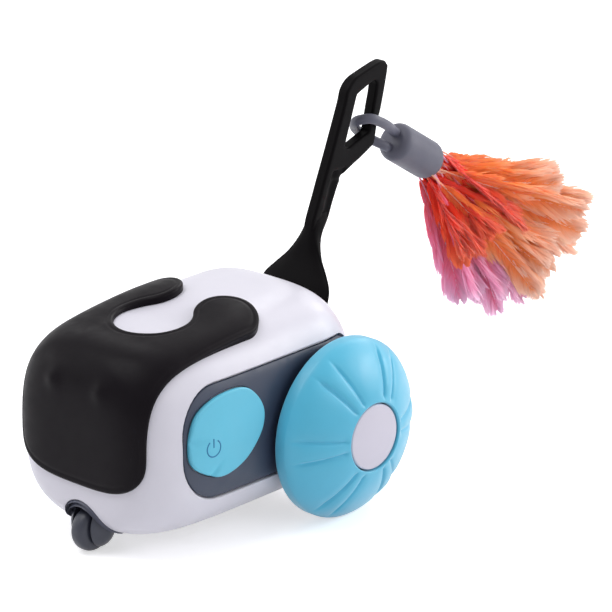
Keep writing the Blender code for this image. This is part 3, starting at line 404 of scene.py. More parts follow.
def piece(name, verts, faces, material, angle=None, rounded_off=True):
    """A mesh object from places in metres, measured from the ground under the axle."""
    mesh = bpy.data.meshes.new(name)
    mesh.from_pydata([tuple(v) for v in verts], [], [tuple(int(i) for i in f) for f in faces])
    mesh.validate()
    obj = bpy.data.objects.new(name, mesh)
    bpy.context.scene.collection.objects.link(obj)
    mesh.transform(Matrix.Translation(SHIFT))
    if material:
        mesh.materials.append(material)
    if rounded_off:
        mesh.shade_smooth()
    if angle:
        mesh.set_sharp_from_angle(angle=math.radians(angle))
    return obj


def polish(obj, material):
    """The material and the sharp edges of a piece that was cut."""
    obj.data.materials.append(material)
    obj.data.shade_smooth()
    obj.data.set_sharp_from_angle(angle=CUT_EDGE)


def dress(obj, body, slot, *nodes):
    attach(obj, body)
    if nodes:
        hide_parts(*nodes)


def recalc(obj):
    """Merges double points and turns all faces outwards."""
    bm = bmesh.new()
    bm.from_mesh(obj.data)
    bmesh.ops.remove_doubles(bm, verts=bm.verts, dist=1e-7)
    bmesh.ops.recalc_face_normals(bm, faces=bm.faces)
    bm.to_mesh(obj.data)
    bm.free()
    return obj


def read(rows, name, width=1, kind=float):
    """One property of a mesh's points, corners or faces, as an array."""
    values = np.empty(len(rows) * width, kind)
    rows.foreach_get(name, values)
    return values.reshape(-1, width) if width > 1 else values


def cut(obj, tool, operation="DIFFERENCE"):
    boolean = obj.modifiers.new("cut", "BOOLEAN")
    boolean.operation = operation
    boolean.object = tool
    boolean.solver = "EXACT"
    graph = bpy.context.evaluated_depsgraph_get()
    graph.update()
    mesh = bpy.data.meshes.new_from_object(obj.evaluated_get(graph))
    obj.modifiers.clear()
    obj.data = mesh
    bpy.data.objects.remove(tool)


def turn_over(faces):
    return [tuple(reversed(face)) for face in faces]


def shift_faces(faces, start):
    return [tuple(i + start for i in face) for face in faces]


def grid_faces(rows, columns, start=0, ring=False):
    """Quads between rows of points. Each row is closed, and in a ring the last meets the first."""
    faces = []
    for row in range(rows if ring else rows - 1):
        a, b = start + row * columns, start + (row + 1) % rows * columns
        faces += [(a + c, a + (c + 1) % columns, b + (c + 1) % columns, b + c) for c in range(columns)]
    return faces


def band(first, second, inwards=False):
    """Quads between two closed loops of point numbers."""
    quads = list(zip(first, first[1:] + first[:1], second[1:] + second[:1], second))
    return turn_over(quads) if inwards else quads


def join(*parts):
    """Points and faces of several shapes as one."""
    verts, faces, start = [], [], 0
    for part_verts, part_faces in parts:
        verts.append(part_verts)
        faces += shift_faces(part_faces, start)
        start += len(part_verts)
    return np.vstack(verts), faces


def turned(outline, steps, place, side=1, ring=False):
    """Points and faces of an outline of (radius, out) turned about the X axis."""
    outline, turn = np.asarray(outline, float), circle(steps)
    verts = np.stack((np.repeat(outline[:, 1:] * side, steps, 1), outline[:, :1] * np.cos(turn),
                      outline[:, :1] * np.sin(turn)), -1)
    faces = grid_faces(len(outline), steps, ring=ring)
    return verts.reshape(-1, 3) + place, turn_over(faces) if side < 0 else faces


def turned_z(name, outline, place, steps=72):
    """A solid turned about a vertical axis, from an outline of (radius, height)."""
    outline, turn = np.asarray(outline, float), circle(steps)
    verts = np.stack((outline[:, :1] * np.cos(turn), outline[:, :1] * np.sin(turn),
                      np.repeat(outline[:, 1:], steps, 1)), -1)
    return recalc(piece(name, verts.reshape(-1, 3) + place, grid_faces(len(outline), steps), None))


def rod(radius, start, end):
    """The outline of a plain round bar, to be turned."""
    return [(0, end), (radius, end), (radius, start), (0, start)]


def slab(name, outline, start, end, axis):
    """A prism of a closed outline, from start to end along X, Y or Z."""
    count = len(outline)
    rows = [np.insert(np.asarray(outline, float), axis, level, axis=1) for level in (start, end)]
    faces = grid_faces(2, count) + [tuple(range(count)), tuple(range(2 * count - 1, count - 1, -1))]
    return recalc(piece(name, np.vstack(rows), faces, None, rounded_off=False))


def box_outline(low, high):
    return [low, (high[0], low[1]), high, (low[0], high[1])]


def tube_points(points, normal, other, radius, sides):
    turn = circle(sides)[None, :, None]
    ring = normal[:, None] * np.cos(turn) + other[:, None] * np.sin(turn)
    return (points[:, None] + ring * np.reshape(radius, (-1, 1, 1))).reshape(-1, 3)


def tube(points, radius, sides):
    """Points and faces of a round tube along a line, its ends closed."""
    tangent = unit(np.gradient(points, axis=0))
    normals = [np.cross(tangent[0], (0.3, 0.2, 0.93))]
    for way in tangent:
        normals.append(unit(normals[-1] - way * np.dot(normals[-1], way)))
    normals = np.array(normals[1:])
    verts = tube_points(points, normals, np.cross(tangent, normals), radius, sides)
    base = (len(points) - 1) * sides
    caps = [tuple(range(sides)), tuple(range(base + sides - 1, base - 1, -1))]
    return verts, turn_over(grid_faces(len(points), sides)) + caps


def closed_tube(points, radius, sides):
    """Points and faces of a round tube along a closed line in side view."""
    tangent = unit(np.roll(points, -1, 0) - np.roll(points, 1, 0))
    normal = unit(np.cross(tangent, (1.0, 0.0, 0.0)))
    verts = tube_points(points, normal, np.cross(tangent, normal), radius, sides)
    return verts, turn_over(grid_faces(len(points), sides, ring=True))


def solid_form(name, grow, around, along):
    """The body's form as a closed solid, evenly spaced."""
    turn, half = even_turns(around), int(along * 0.72)
    tip, end = [form(np.zeros(1), np.zeros(1), nose, grow) for nose in (True, False)]
    rows = [form(share, turn, True, grow) for share in np.linspace(0, 1, half + 1)[1:]]
    rows += [form(share, turn, False, grow) for share in np.linspace(1, 0, along - half + 1)[1:-1]]
    verts = np.vstack([tip] + rows + [end])
    last = len(verts) - 1
    base = last - around
    faces = turn_over(grid_faces(len(rows), around, start=1))
    faces += [(0, 1 + (k + 1) % around, 1 + k) for k in range(around)]
    faces += [(last, base + k, base + (k + 1) % around) for k in range(around)]
    return recalc(piece(name, verts, faces, None))


def filled(loops, spacing, clearance, extent):
    """Triangles inside the first loop and outside the others, on a grid of even triangles.

    The grid starts at the corner of the extent, and its points keep clear of the loops by a
    share of the spacing. Returns the points, the faces and each loop point's number."""
    low, high = extent.min(0), extent.max(0)
    grid = np.array([(x + (spacing / 2 if row % 2 else 0), y)
                     for row, y in enumerate(np.arange(low[1], high[1], spacing * 0.87))
                     for x in np.arange(low[0], high[0], spacing)])

    def within(points):
        keep = inside(points, loops[0])
        for hole in loops[1:]:
            keep &= ~inside(points, hole)
        return keep

    edge = np.vstack(loops)
    tree = kdtree.KDTree(len(edge))
    for index, p in enumerate(edge):
        tree.insert((*p, 0), index)
    tree.balance()
    near = np.array([tree.find((*p, 0))[2] for p in grid])
    grid = grid[within(grid) & (near > spacing * clearance)]
    edges, start = [], 0
    for loop in loops:
        edges += [(start + k, start + (k + 1) % len(loop)) for k in range(len(loop))]
        start += len(loop)
    # The triangulation works best in millimetres
    flat = [Vector(p * 1000) for p in np.vstack((edge, grid))]
    found = delaunay_2d_cdt(flat, edges, [], 0, 1e-6)
    points = np.array([tuple(v) for v in found[0]]) / 1000
    middles = np.array([points[list(f)].mean(0) for f in found[2]])
    faces = [tuple(f) for f, keep in zip(found[2], within(middles)) if keep]
    return points, faces, {origin[0]: k for k, origin in enumerate(found[3]) if origin}


class Patch:
    """A smooth region of a surface with a shaped edge. point maps (n, 2) to (n, 3)."""

    def __init__(self, point, outline, holes=()):
        self.point = point
        self.outline = anticlockwise(outline)
        self.holes = list(holes)

    def frame(self, uv, step=1e-5):
        here = self.point(uv)
        du = (self.point(uv + (step, 0)) - self.point(uv - (step, 0))) / (2 * step)
        dv = (self.point(uv + (0, step)) - self.point(uv - (0, step))) / (2 * step)
        return here, du, dv, unit(np.cross(du, dv))

    def project(self, target, uv):
        """The uv whose point lies nearest to the target."""
        for _ in range(6):
            here, du, dv, _normal = self.frame(uv)
            gap = target - here
            a, b, c = np.sum(du * du, 1), np.sum(du * dv, 1), np.sum(dv * dv, 1)
            p, q = np.sum(du * gap, 1), np.sum(dv * gap, 1)
            det = np.maximum(a * c - b * b, 1e-12)
            uv = uv + np.stack(((c * p - b * q) / det, (a * q - b * p) / det), -1)
        return uv

    def inset(self, uv, distance):
        here, _du, _dv, normal = self.frame(uv)
        inward = unit(np.cross(normal, np.roll(here, -1, 0) - np.roll(here, 1, 0)))
        return self.project(here + inward * distance, uv)

    def build(self, rings, spacing, floor, lift=None, rise=None):
        """A closed plate. rings are (inset, height) from the outside in, floor is the height of
        its underside, lift is added along the normal and rise is added upwards."""
        loops, last, uv = [], 0.0, self.outline
        for distance, _height in rings:
            uv = self.inset(uv, distance - last) if distance != last else uv
            last = distance
            loops.append(uv)
        points, faces, source = filled([uv] + self.holes, spacing, 0.45, uv)
        edge, base = len(uv), len(uv) * (len(loops) - 1)
        rows = [list(range(start, start + edge)) for start in range(0, base, edge)]
        rows.append([base + source[k] for k in range(edge)])
        heights = [np.full(edge, height) for _inset, height in rings[:-1]]
        heights = np.concatenate(heights + [np.full(len(points), rings[-1][1])])
        here, _du, _dv, normal = self.frame(np.vstack(loops[:-1] + [points]))
        top = here + normal * (heights + lift(here) if lift else heights)[:, None]
        if rise:
            top[:, 2] += rise(here)
        faces = shift_faces(faces, base)
        for outer, inner in zip(rows, rows[1:]):
            faces += band(outer, inner)
        count = len(here)
        faces += turn_over(shift_faces(faces, count))
        faces += band(rows[0], [i + count for i in rows[0]], True)
        start = edge
        for hole in self.holes:
            ids = [base + source[start + k] for k in range(len(hole))]
            faces += band(ids, [i + count for i in ids], area(hole) < 0)
            start += len(hole)
        return np.vstack((top, here + normal * floor)), faces


def round_edge(radius, top, steps):
    """Rings of a quarter round edge: (inset, height)."""
    turn = np.linspace(0, math.pi / 2, steps + 1)
    return [(radius * (1 - math.cos(a)), top - radius * (1 - math.sin(a))) for a in turn]


# Body, cover and panels

GAP = 0.0003
SHELL_WALL, POCKET_DEPTH = 0.0024, 0.0015
# The flat underside's height, and a cutter's reach well past the body
BELLY_CUT, BEYOND = 0.0036, 0.05
PANEL = rounded([(-0.0560, 0.0162), (0.0105, 0.0162), (0.0105, 0.0485), (-0.0560, 0.0485)],
                [0.0135, 0.006, 0.006, 0.0125])
PAD_CENTRE, PAD_HALF = np.array((-0.0410, 0.0342)), np.array((0.0134, 0.0111))
PAD_SHARES = ((-1.0, -0.2), (-0.93, -0.52), (-0.72, -0.76), (-0.28, -1.0), (0.14, -0.96),
              (0.56, -0.71), (0.9, -0.25), (1.0, 0.2), (0.88, 0.6), (0.6, 0.92),
              (0.2, 1.0), (-0.32, 0.93), (-0.76, 0.68), (-0.96, 0.25))
PAD = catmull(PAD_CENTRE + np.array(PAD_SHARES) * PAD_HALF, 8, True)
BELLY_PLATE = rounded([(-0.0125, -0.0455), (0.0125, -0.0455), (0.0125, 0.0058), (-0.0125, 0.0058)],
                      [0.004] * 4)
BELLY_PLATE_TOP = 0.0075
# Holes' radii in the shell: the wheels' axle, the button's plunger and the caster's stem
AXLE_HOLE, PLUNGER_HOLE, STEM_ROOM = 0.0038, 0.0023, 0.003
PLUNGER_Y, PLUNGER_Z = -0.0425, 0.0345
CASTER_PLACE = (0, -0.0625, 0)
WELL_RADIUS, WELL_SPRING, WELL_TOP, WELL_POWER = 0.0082, 0.005, 0.0162, 2.4
LIP_RADIUS, LIP_SUNK = 0.00045, -0.00042


def flank_patch(side, outline, holes=()):
    """A patch on the car's side, its normals pointing out on both sides."""
    def point(uv):
        y = uv[:, 0] * side
        return np.stack((side_x(y, uv[:, 1], 0) * side, y, uv[:, 1]), -1)
    mirror = np.array((side, 1.0))
    return Patch(point, np.asarray(outline) * mirror, [np.asarray(h) * mirror for h in holes])


def well_outline(grow):
    """The well over the caster, rounded at its top, to be turned."""
    turn = np.radians(np.linspace(90, 0, 19))
    radius = (WELL_RADIUS + grow) * power(np.cos(turn), 2 / WELL_POWER)
    height = WELL_SPRING + (WELL_TOP - WELL_SPRING + grow) * power(np.sin(turn), 2 / WELL_POWER)
    radius[0] = 0
    return list(zip(radius, height)) + [(WELL_RADIUS + grow, -0.01), (0, -0.01)]


def form_normals(mesh, limit=25):
    """The form's own normals where a face lies on it, so that cut faces shade smoothly."""
    mesh.shade_smooth()
    mesh.set_sharp_from_angle(angle=CUT_EDGE)
    exact = slope(read(mesh.vertices, "co", 3) - np.array(SHIFT))
    exact = exact[read(mesh.loops, "vertex_index", kind=int)]
    normals = read(mesh.corner_normals, "vector", 3)
    face_normals = read(mesh.polygons, "normal", 3)
    corners = read(mesh.polygons, "loop_total", kind=int)
    near = np.sum(np.repeat(face_normals, corners, 0) * exact, 1) > math.cos(math.radians(limit))
    normals[near] = exact[near]
    mesh.normals_split_custom_set([tuple(n) for n in normals])


# Where the roof's dip ends in front, behind, at the sides and below, and how deep it is
DIP_FRONT, DIP_BACK, DIP_SIDE, DIP_LOW, DIP_DEPTH = -0.0625, -0.020, 0.022, 0.045, 0.0017


def dip(points):
    """How far the roof sinks before the cover's lobes, with soft ends."""
    x, y, z = points.T
    along = smooth((y - DIP_FRONT) / 0.012) * smooth((DIP_BACK - y) / 0.018)
    return -DIP_DEPTH * along * smooth((DIP_SIDE - np.abs(x)) / 0.014) * smooth((z - DIP_LOW) / 0.008)


def sink_roof(mesh, step=0.0002):
    """Lowers the roof by dip and turns its normals with it."""
    verts = read(mesh.vertices, "co", 3)
    normals = read(mesh.corner_normals, "vector", 3)
    corner = read(mesh.loops, "vertex_index", kind=int)
    local = verts - np.array(SHIFT)
    for axis in (0, 1):
        way = np.eye(3)[axis] * step
        lean = (dip(local + way) - dip(local - way)) / (2 * step)
        normals[:, axis] -= lean[corner] * normals[:, 2]
    verts[:, 2] += dip(local)
    mesh.vertices.foreach_set("co", verts.ravel())
    mesh.update()
    mesh.normals_split_custom_set([tuple(n) for n in unit(normals)])


def bore(shell, radius, start, y, z, side, steps):
    """A round hole along X."""
    hole = turned(rod(radius, start, BEYOND), steps, (0, y, z), side)
    cut(shell, recalc(piece("hole", *hole, None)))


def make_shell():
    fine = 180
    shell = solid_form("body_shell_skin", 0, fine, int(fine * 0.8))
    cut(shell, solid_form("cavity", -SHELL_WALL, 48, 36))
    cut(shell, slab("flat", box_outline((-0.05, -0.02), (0.05, BELLY_CUT)), -0.09, 0.04, 1))
    cut(shell, slab("belly", offset(BELLY_PLATE, GAP), -0.01, BELLY_PLATE_TOP, 2))
    cut(shell, turned_z("well", well_outline(GAP), CASTER_PLACE))
    cut(shell, turned_z("head_room", rod(STEM_ROOM, 0.004, 0.03), CASTER_PLACE, 32))
    for _name, side in SIDES:
        pocket = slab("pocket", PANEL, min(0, side * BEYOND), max(0, side * BEYOND), 0)
        cut(pocket, solid_form("floor", -POCKET_DEPTH, 96, 64))
        cut(shell, pocket)
        bore(shell, AXLE_HOLE, 0.01, 0, AXLE_Z, side, 40)
    bore(shell, PLUNGER_HOLE, 0.02, PLUNGER_Y, PLUNGER_Z, 1, 24)
    low, high = [np.array(corner) - np.array(SHIFT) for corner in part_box("usb_port")]
    cut(shell, slab("port_hole", box_outline(low[1:] - GAP, high[1:] + GAP), -BEYOND, -0.015, 0))
    shell.data.materials.append(WHITE)
    form_normals(shell.data)
    sink_roof(shell.data)
    dress(shell, "car", "shell_white", "body_shell")
    for name, side in SIDES:
        y, z = resample(offset(PANEL, GAP), 0.0005).T
        edge = np.stack((side_x(y, z, LIP_SUNK) * side, y, z), -1)
        lip = piece("panel_lip_" + name, *closed_tube(edge, LIP_RADIUS, 12), WHITE)
        dress(lip, "car", "shell_white")


def unroll(size, turn):
    """Where a place of the nose lies when the nose is unrolled around its tip."""
    way = size * section_radius(turn) + NOSE_LENGTH * (1 - (1 - size ** NOSE_POWER) ** (1 / NOSE_POWER))
    return np.stack((way * np.cos(turn), way * np.sin(turn)), -1)


def unroll_front(x, z):
    z = z - MIDDLE
    height, n = section(z > 0)
    size = (np.abs(x / HALF_WIDTH) ** n + np.abs(z / height) ** n) ** (1 / n)
    return unroll(size, np.arctan2(z, x))


def unroll_top(x, y):
    size = (1 - ((WIDEST - y) / NOSE_LENGTH) ** NOSE_POWER) ** (1 / NOSE_POWER)
    across = np.abs(x) / (size * HALF_WIDTH)
    rise = size * (TOP - MIDDLE) * (1 - across ** ROOF_POWER) ** (1 / ROOF_POWER)
    return unroll(size, np.arctan2(rise, x))


def nose_map(uv):
    """Rolls the nose up again: straight over its flat front, then back along roof and flanks."""
    turn = np.arctan2(uv[:, 1], uv[:, 0])
    radius = section_radius(turn)
    want = np.hypot(uv[:, 0], uv[:, 1])
    low, high = np.zeros(len(uv)), np.full(len(uv), math.pi / 2)
    for _ in range(46):
        middle = (low + high) / 2
        way = (np.sin(middle) ** (2 / NOSE_POWER) * radius
               + NOSE_LENGTH * (1 - np.cos(middle) ** (2 / NOSE_POWER)))
        low, high = np.where(way < want, middle, low), np.where(way < want, high, middle)
    size = np.sin(low) ** (2 / NOSE_POWER)
    y = WIDEST - NOSE_LENGTH * np.cos(low) ** (2 / NOSE_POWER)
    return np.stack((size * radius * np.cos(turn), y, MIDDLE + size * radius * np.sin(turn)), -1)


# The cover's half width, its chin's height, depth and power, and the round lobes and tongue
MASK_HALF_WIDTH, CHIN_Z, CHIN_DEPTH, CHIN_POWER = 0.0224, 0.0332, 0.0131, 3.2
BROW_LOW, BROW_TOP = 0.0334, 0.0475
LOBE_Y, LOBE_RADIUS, TONGUE_RADIUS = -0.0257, 0.0086, 0.0105
MASK_HEIGHT, MASK_EDGE, LOBE_RISE = 0.0012, 0.0008, 0.0011
EYE_X, EYE_Z, EYE_SIZE, EYE_HEIGHT = 0.0087, 0.0472, 0.0025, 0.0006
# The shallow line inside the cover's edge, as (inset, height)
GROOVE_HEIGHT = 0.00108
MASK_GROOVE = [(0.0013, MASK_HEIGHT), (0.0016, GROOVE_HEIGHT), (0.0019, GROOVE_HEIGHT), (0.0023, MASK_HEIGHT)]


def mask_outline(spacing):
    """The cover's outline on the unrolled nose, from the chin up to the lobes and the tongue."""
    chin = np.radians(np.linspace(-90, 0, 120))
    front = unroll_front(MASK_HALF_WIDTH * power(np.cos(chin), 2 / CHIN_POWER),
                         CHIN_Z + CHIN_DEPTH * power(np.sin(chin), 2 / CHIN_POWER))
    straight = np.full(40, MASK_HALF_WIDTH)
    brow = unroll_front(straight, np.linspace(BROW_LOW, BROW_TOP, 40))
    shoulder_y = nose_map(brow[-1:])[0, 1]
    shoulder = unroll_top(straight, np.linspace(shoulder_y + 0.0003, LOBE_Y, 40))
    lobe = (MASK_HALF_WIDTH - LOBE_RADIUS, LOBE_Y)
    tongue = (0, LOBE_Y - math.sqrt((LOBE_RADIUS + TONGUE_RADIUS) ** 2 - lobe[0] ** 2))
    touch = math.degrees(math.atan2(tongue[1] - lobe[1], -lobe[0]))
    top = np.vstack((arc(lobe, LOBE_RADIUS, 0, touch + 360, 60)[1:],
                     arc(tongue, TONGUE_RADIUS, touch + 180, -90, 60)[1:]))
    half = np.vstack((front[1:], brow, shoulder, unroll_top(top[:, 0], top[:, 1])))
    other = (half[::-1] * (-1, 1))[1:]
    return resample(np.vstack((front[:1], half, other)), spacing)


def make_mask():
    spacing = 0.0007

    def lift(points):
        """Two soft bumps mark the eyes."""
        height = np.zeros(len(points))
        for side in (-1, 1):
            gap = np.hypot(points[:, 0] - side * EYE_X, points[:, 2] - EYE_Z)
            height += np.where(points[:, 1] < -0.04, EYE_HEIGHT * np.exp(-(gap / EYE_SIZE) ** 2), 0)
        return height

    def rise(points):
        """The lobes stand up off the shell towards their tips, and the roof dips before them."""
        return LOBE_RISE * smooth((points[:, 1] + 0.050) / 0.026) + dip(points)

    rings = round_edge(MASK_EDGE, MASK_HEIGHT, 6) + MASK_GROOVE
    verts, faces = Patch(nose_map, mask_outline(spacing)).build(rings, spacing, 0.0001, lift, rise)
    underside = verts[len(verts) // 2:]
    underside[:, 2] += dip(underside)
    dress(piece("face_mask_skin", verts, faces, BLACK, 50), "car", "mask_black", "face_mask")


def make_panels():
    axle_hole = arc((0, AXLE_Z), AXLE_HOLE, 0, 352.5, 47)
    pad_hole = resample(offset(PAD, GAP), 0.0006)
    outline = resample(offset(PANEL, -0.00035), 0.0007)
    for name, side in SIDES:
        patch = flank_patch(side, outline, [axle_hole, pad_hole])
        verts, faces = patch.build(round_edge(0.0004, -0.0003, 3), 0.0014, -0.0014)
        dress(piece("side_panel_skin_" + name, verts, faces, SLATE, 40), "car", "slate", "side_panel_" + name)


# The creases of a pad in side view: start, end, width and depth
PAD_CREASES = (((-0.0548, 0.0349), (-0.0490, 0.0346), 0.0008, 0.0008),
               ((-0.0482, 0.0230), (-0.0440, 0.0272), 0.0008, 0.0009))
PAD_HEIGHT, PAD_EDGE, PAD_FLOOR = 0.001, 0.00055, -0.0005
SYMBOL_CENTRE, SYMBOL_RADIUS, SYMBOL_LINE = np.array((-0.0467, 0.0318)), 0.0023, 0.0002


def crease(points, start, end, width, depth):
    """A soft groove between two places in side view, (y, z)."""
    start, end = np.array(start), np.array(end)
    way = end - start
    share = np.clip(((points[:, 1:] - start) @ way) / (way @ way), 0, 1)
    gap = np.linalg.norm(points[:, 1:] - (start + share[:, None] * way), axis=1)
    return -depth * np.exp(-(gap / width) ** 2) * (1 - 0.8 * share)


def make_pads():
    for name, side, body, node in (("left", 1, "button", "power_button"),
                                   ("right", -1, "flap", "port_cover")):
        patch = flank_patch(side, resample(PAD, 0.0004))
        verts, faces = patch.build(round_edge(PAD_EDGE, PAD_HEIGHT, 5), 0.0006, PAD_FLOOR,
                                   lambda points: sum(crease(points, *line) for line in PAD_CREASES))
        dress(piece("pad_skin_" + name, verts, faces, PAD_BLUE, 50), body, "pad_blue", node)
        if side > 0:
            power_symbol(patch)


def power_symbol(patch):
    """The usual ring with a bar, as a fine line of deeper blue just proud of the pad."""
    ring = arc(SYMBOL_CENTRE, SYMBOL_RADIUS, 125, 415, 59)
    bar = SYMBOL_CENTRE + np.stack((np.zeros(12), np.linspace(0.0002, 0.0026, 12)), -1)
    lines = []
    for line in (ring, bar):
        here, _du, _dv, normal = patch.frame(line)
        lines.append(tube(here + normal * (PAD_HEIGHT - 0.00005), SYMBOL_LINE, 8))
    dress(piece("power_symbol", *join(*lines), MARK), "button", "pad_blue")


# Floor

FLOOR_HALF, FLOOR_LIFT = 3, 0.55
FLOOR_GREYS = (0.86, 0.86, 0.87), (0.89, 0.89, 0.9)


def make_floor():
    """A white floor that keeps the object's soft shadow and looks white to the camera."""
    corners = box_outline((-FLOOR_HALF, -FLOOR_HALF), (FLOOR_HALF, FLOOR_HALF))
    n = Nodes(bpy.data.materials.new("floor"))
    lift = n.new("Math", n.seen(), FLOOR_LIFT, operation="MULTIPLY")
    n.set(Base_Color=n.ramp(n.noise(40, 3, 0.5), *FLOOR_GREYS), Roughness=0.9, Specular_IOR_Level=0.1,
          Emission_Color=(1, 1, 1, 1), Emission_Strength=lift.outputs[0])
    floor = piece("floor", [(x, y, 0) for x, y in corners], [(0, 1, 2, 3)], n.owner, rounded_off=False)


# Feathers

ROOT = np.array((0, 0.0724, 0.0754))
HOLDER_TURN = math.radians(-32.6)
HOLDER_AXIS = np.array((0, math.cos(HOLDER_TURN), math.sin(HOLDER_TURN)))
HOLDER_UP = np.array((0, -HOLDER_AXIS[2], HOLDER_AXIS[1]))
# How far feathers reach for each way they point, seen from the car's front left: degrees, metres
REACHES = np.array(((-100, 0.026), (-90, 0.036), (-86, 0.046), (-80, 0.051), (-74, 0.056), (-66, 0.063),
                    (-54, 0.066), (-47, 0.069), (-38, 0.067), (-24, 0.071), (-17, 0.070), (-8, 0.060),
                    (-2, 0.052), (10, 0.044)))
# How each way of the car runs across and up as seen from the front left, in even units
SEEN_ACROSS = np.array((2.70, 2.46, 0)) / 2.62
SEEN_UP = np.array((-0.845, 0.92, 3.43)) / 2.62
FARTHEST_TIP, FOOT_HALF, FOOT_DEPTH = 0.0735, 0.0038, 0.003
BARB_STEPS, BARB_WIDTH, LOCKS, QUILL_POINTS = 6, 0.00052, 40, 40
# Name, how many, ways they point, lean to a side, barb length, share of the reach, colours
BUNCHES = (
    ("orange", 26, (-1, -51), (-18, 13), 0.018, (0.88, 1.03),
     ((255, 116, 44), (255, 166, 80), (255, 228, 212))),
    ("red", 22, (-24, -72), (2, 16), 0.013, (0.42, 0.72),
     ((255, 44, 24), (255, 88, 44), (255, 146, 104))),
    ("pink", 20, (-44, -75), (-17, 4), 0.018, (0.88, 1.03),
     ((255, 84, 52), (255, 158, 204), (255, 226, 245))))


def heading(pitch, yaw):
    """The direction of a pitch up from +Y and a yaw to the side, in degrees."""
    pitch, yaw = math.radians(pitch), math.radians(yaw)
    return np.array((math.sin(yaw), math.cos(yaw) * math.cos(pitch), math.cos(yaw) * math.sin(pitch)))


def feather(rng, tip, roll, barbs, reach):
    """One dyed feather: a bent quill and two rows of fine barbs, drawn together into locks."""
    start = ROOT + np.array((rng.uniform(-FOOT_HALF, FOOT_HALF), 0, 0))
    start = start + HOLDER_UP * rng.uniform(-FOOT_HALF, FOOT_HALF) - HOLDER_AXIS * FOOT_DEPTH
    length = float(np.linalg.norm(tip - start))
    way = unit(tip - start)
    early = unit(HOLDER_AXIS * 0.5 + way)
    bend = [start, start + early * length * 0.3, start + early * length * 0.3 + way * length * 0.36, tip]
    t = np.linspace(0, 1, QUILL_POINTS)[:, None]
    quill = ((1 - t) ** 3 * bend[0] + 3 * (1 - t) ** 2 * t * bend[1] + 3 * (1 - t) * t * t * bend[2]
             + t ** 3 * bend[3])
    spot = np.sort(1 - rng.uniform(0, 0.88, barbs) ** 1.15)
    tangent = unit(np.gradient(quill, axis=0))
    base = pick(spot, t[:, 0], quill)
    along = unit(pick(spot, t[:, 0], tangent))
    flat = unit(np.cross(way, (1.0, 0, 0)))
    face = math.cos(roll) * flat + math.sin(roll) * unit(np.cross(way, flat))
    across = unit(np.cross(face, along))
    face = unit(np.cross(along, across))
    steps = BARB_STEPS
    s = np.linspace(0, 1, steps)
    verts, faces, tints, first = [], [], [], 0
    for side in (-1, 1):
        size = reach * np.clip(spot * 3.2, 0.25, 1) * rng.uniform(0.8, 1.12, barbs)
        size = np.minimum(size, (1 - spot) * length + 0.0045)
        angle = np.radians(np.outer(rng.uniform(24, 34, barbs), 1 - 0.8 * s))
        fore = np.cumsum(np.cos(angle), 1) / steps
        out = np.cumsum(np.sin(angle), 1) / steps
        fore, out = fore - fore[:, :1], out - out[:, :1]
        lock = np.floor(spot * 9 + rng.uniform(0, 1)).astype(int)
        curl = (rng.normal(0, 0.08, LOCKS)[lock] + rng.normal(0, 0.05, barbs)) * size
        pull = 1 + rng.uniform(-0.25, 0.25, LOCKS)[lock]
        path = (base[:, None] + along[:, None] * (fore * size[:, None])[..., None]
                + across[:, None] * side * (out * (size * pull)[:, None])[..., None]
                + face[:, None] * np.outer(curl, s ** 2)[..., None])
        path = path + rng.normal(0, 0.00012, path.shape) * s[None, :, None]
        direction = unit(np.gradient(path, axis=1))
        lean = rng.normal(0, 0.25, barbs)[:, None, None]
        wide = unit(np.cross(face[:, None], direction) + face[:, None] * lean)
        width = BARB_WIDTH * np.sin(math.pi * np.clip(0.25 + s * 0.75, 0, 1)) ** 0.8 + 0.00002
        width = width[None, :, None] * rng.uniform(0.6, 1.2, barbs)[:, None, None]
        verts.append(np.stack((path - wide * width, path + wide * width), 2).reshape(-1, 3))
        index = first + 2 * (np.arange(barbs)[:, None, None] * steps + np.arange(steps - 1)[:, None])
        faces.append(np.concatenate((index, index + 1, index + 3, index + 2), 2).reshape(-1, 4))
        first += len(verts[-1])
        tint = np.stack((np.repeat(spot[:, None], steps, 1), np.repeat(s[None], barbs, 0),
                         np.repeat(rng.normal(0, 1, barbs)[:, None], steps, 1)), -1)
        tints.append(np.repeat(tint, 2, 1).reshape(-1, 3))
    stem, stem_faces = tube(quill, 0.00026 * (1 - 0.8 * t[:, 0]) + 0.00004, 6)
    verts.append(stem)
    faces = [tuple(f) for f in np.vstack(faces)] + shift_faces(stem_faces, first)
    tints.append(np.linspace((0, -1, 0), (1, -1, 0), len(stem)))
    return np.vstack(verts), faces, np.vstack(tints)


def mix(a, b, share):
    share = np.clip(share, 0, 1)[:, None]
    return np.array(a) * (1 - share) + np.array(b) * share


def feather_colours(tints, deep, bright, pale):
    """Deep at the quill's foot, bright along it and pale towards the barbs' ends."""
    spot, s, tone = tints.T
    stem = s < 0
    far = np.clip(spot * 0.62 + np.clip(s, 0, 1) * 0.5, 0, 1.1)
    colour = mix(mix(deep, bright, (far - 0.12) * 1.7), pale, (far - 0.6) / 0.4)
    colour = colour * (1 + 0.04 * tone)[:, None]
    colour[stem] = mix(bright, pale, 0.5 + spot[stem] * 0.5)
    return np.clip(colour, 0, 1)


def feather_material(name):
    """Down lets some light through from behind."""
    n = Nodes(bpy.data.materials.new(name))
    fine = n.noise(900, 3, 0.6)
    mottle = n.new("MixRGB", 0.3, n.new("VertexColor", layer_name="tint").outputs["Color"],
                   n.ramp(fine, (0.93, 0.93, 0.93), (1, 1, 1)), blend_type="MULTIPLY").outputs["Color"]
    n.set(Base_Color=mottle, Roughness=n.spread(fine, 0.6, 0.85), Normal=n.bump(fine, 0.00005, 0.4),
          Sheen_Weight=1.0, Sheen_Roughness=0.5, Specular_IOR_Level=0.2)
    through = n.new("BsdfTranslucent", Color=mottle)
    both = n.new("MixShader", 0.48, n.shader.outputs[0], through.outputs[0])
    n.give(n.tree.nodes["Material Output"].inputs["Surface"], both.outputs[0])
    return n.owner


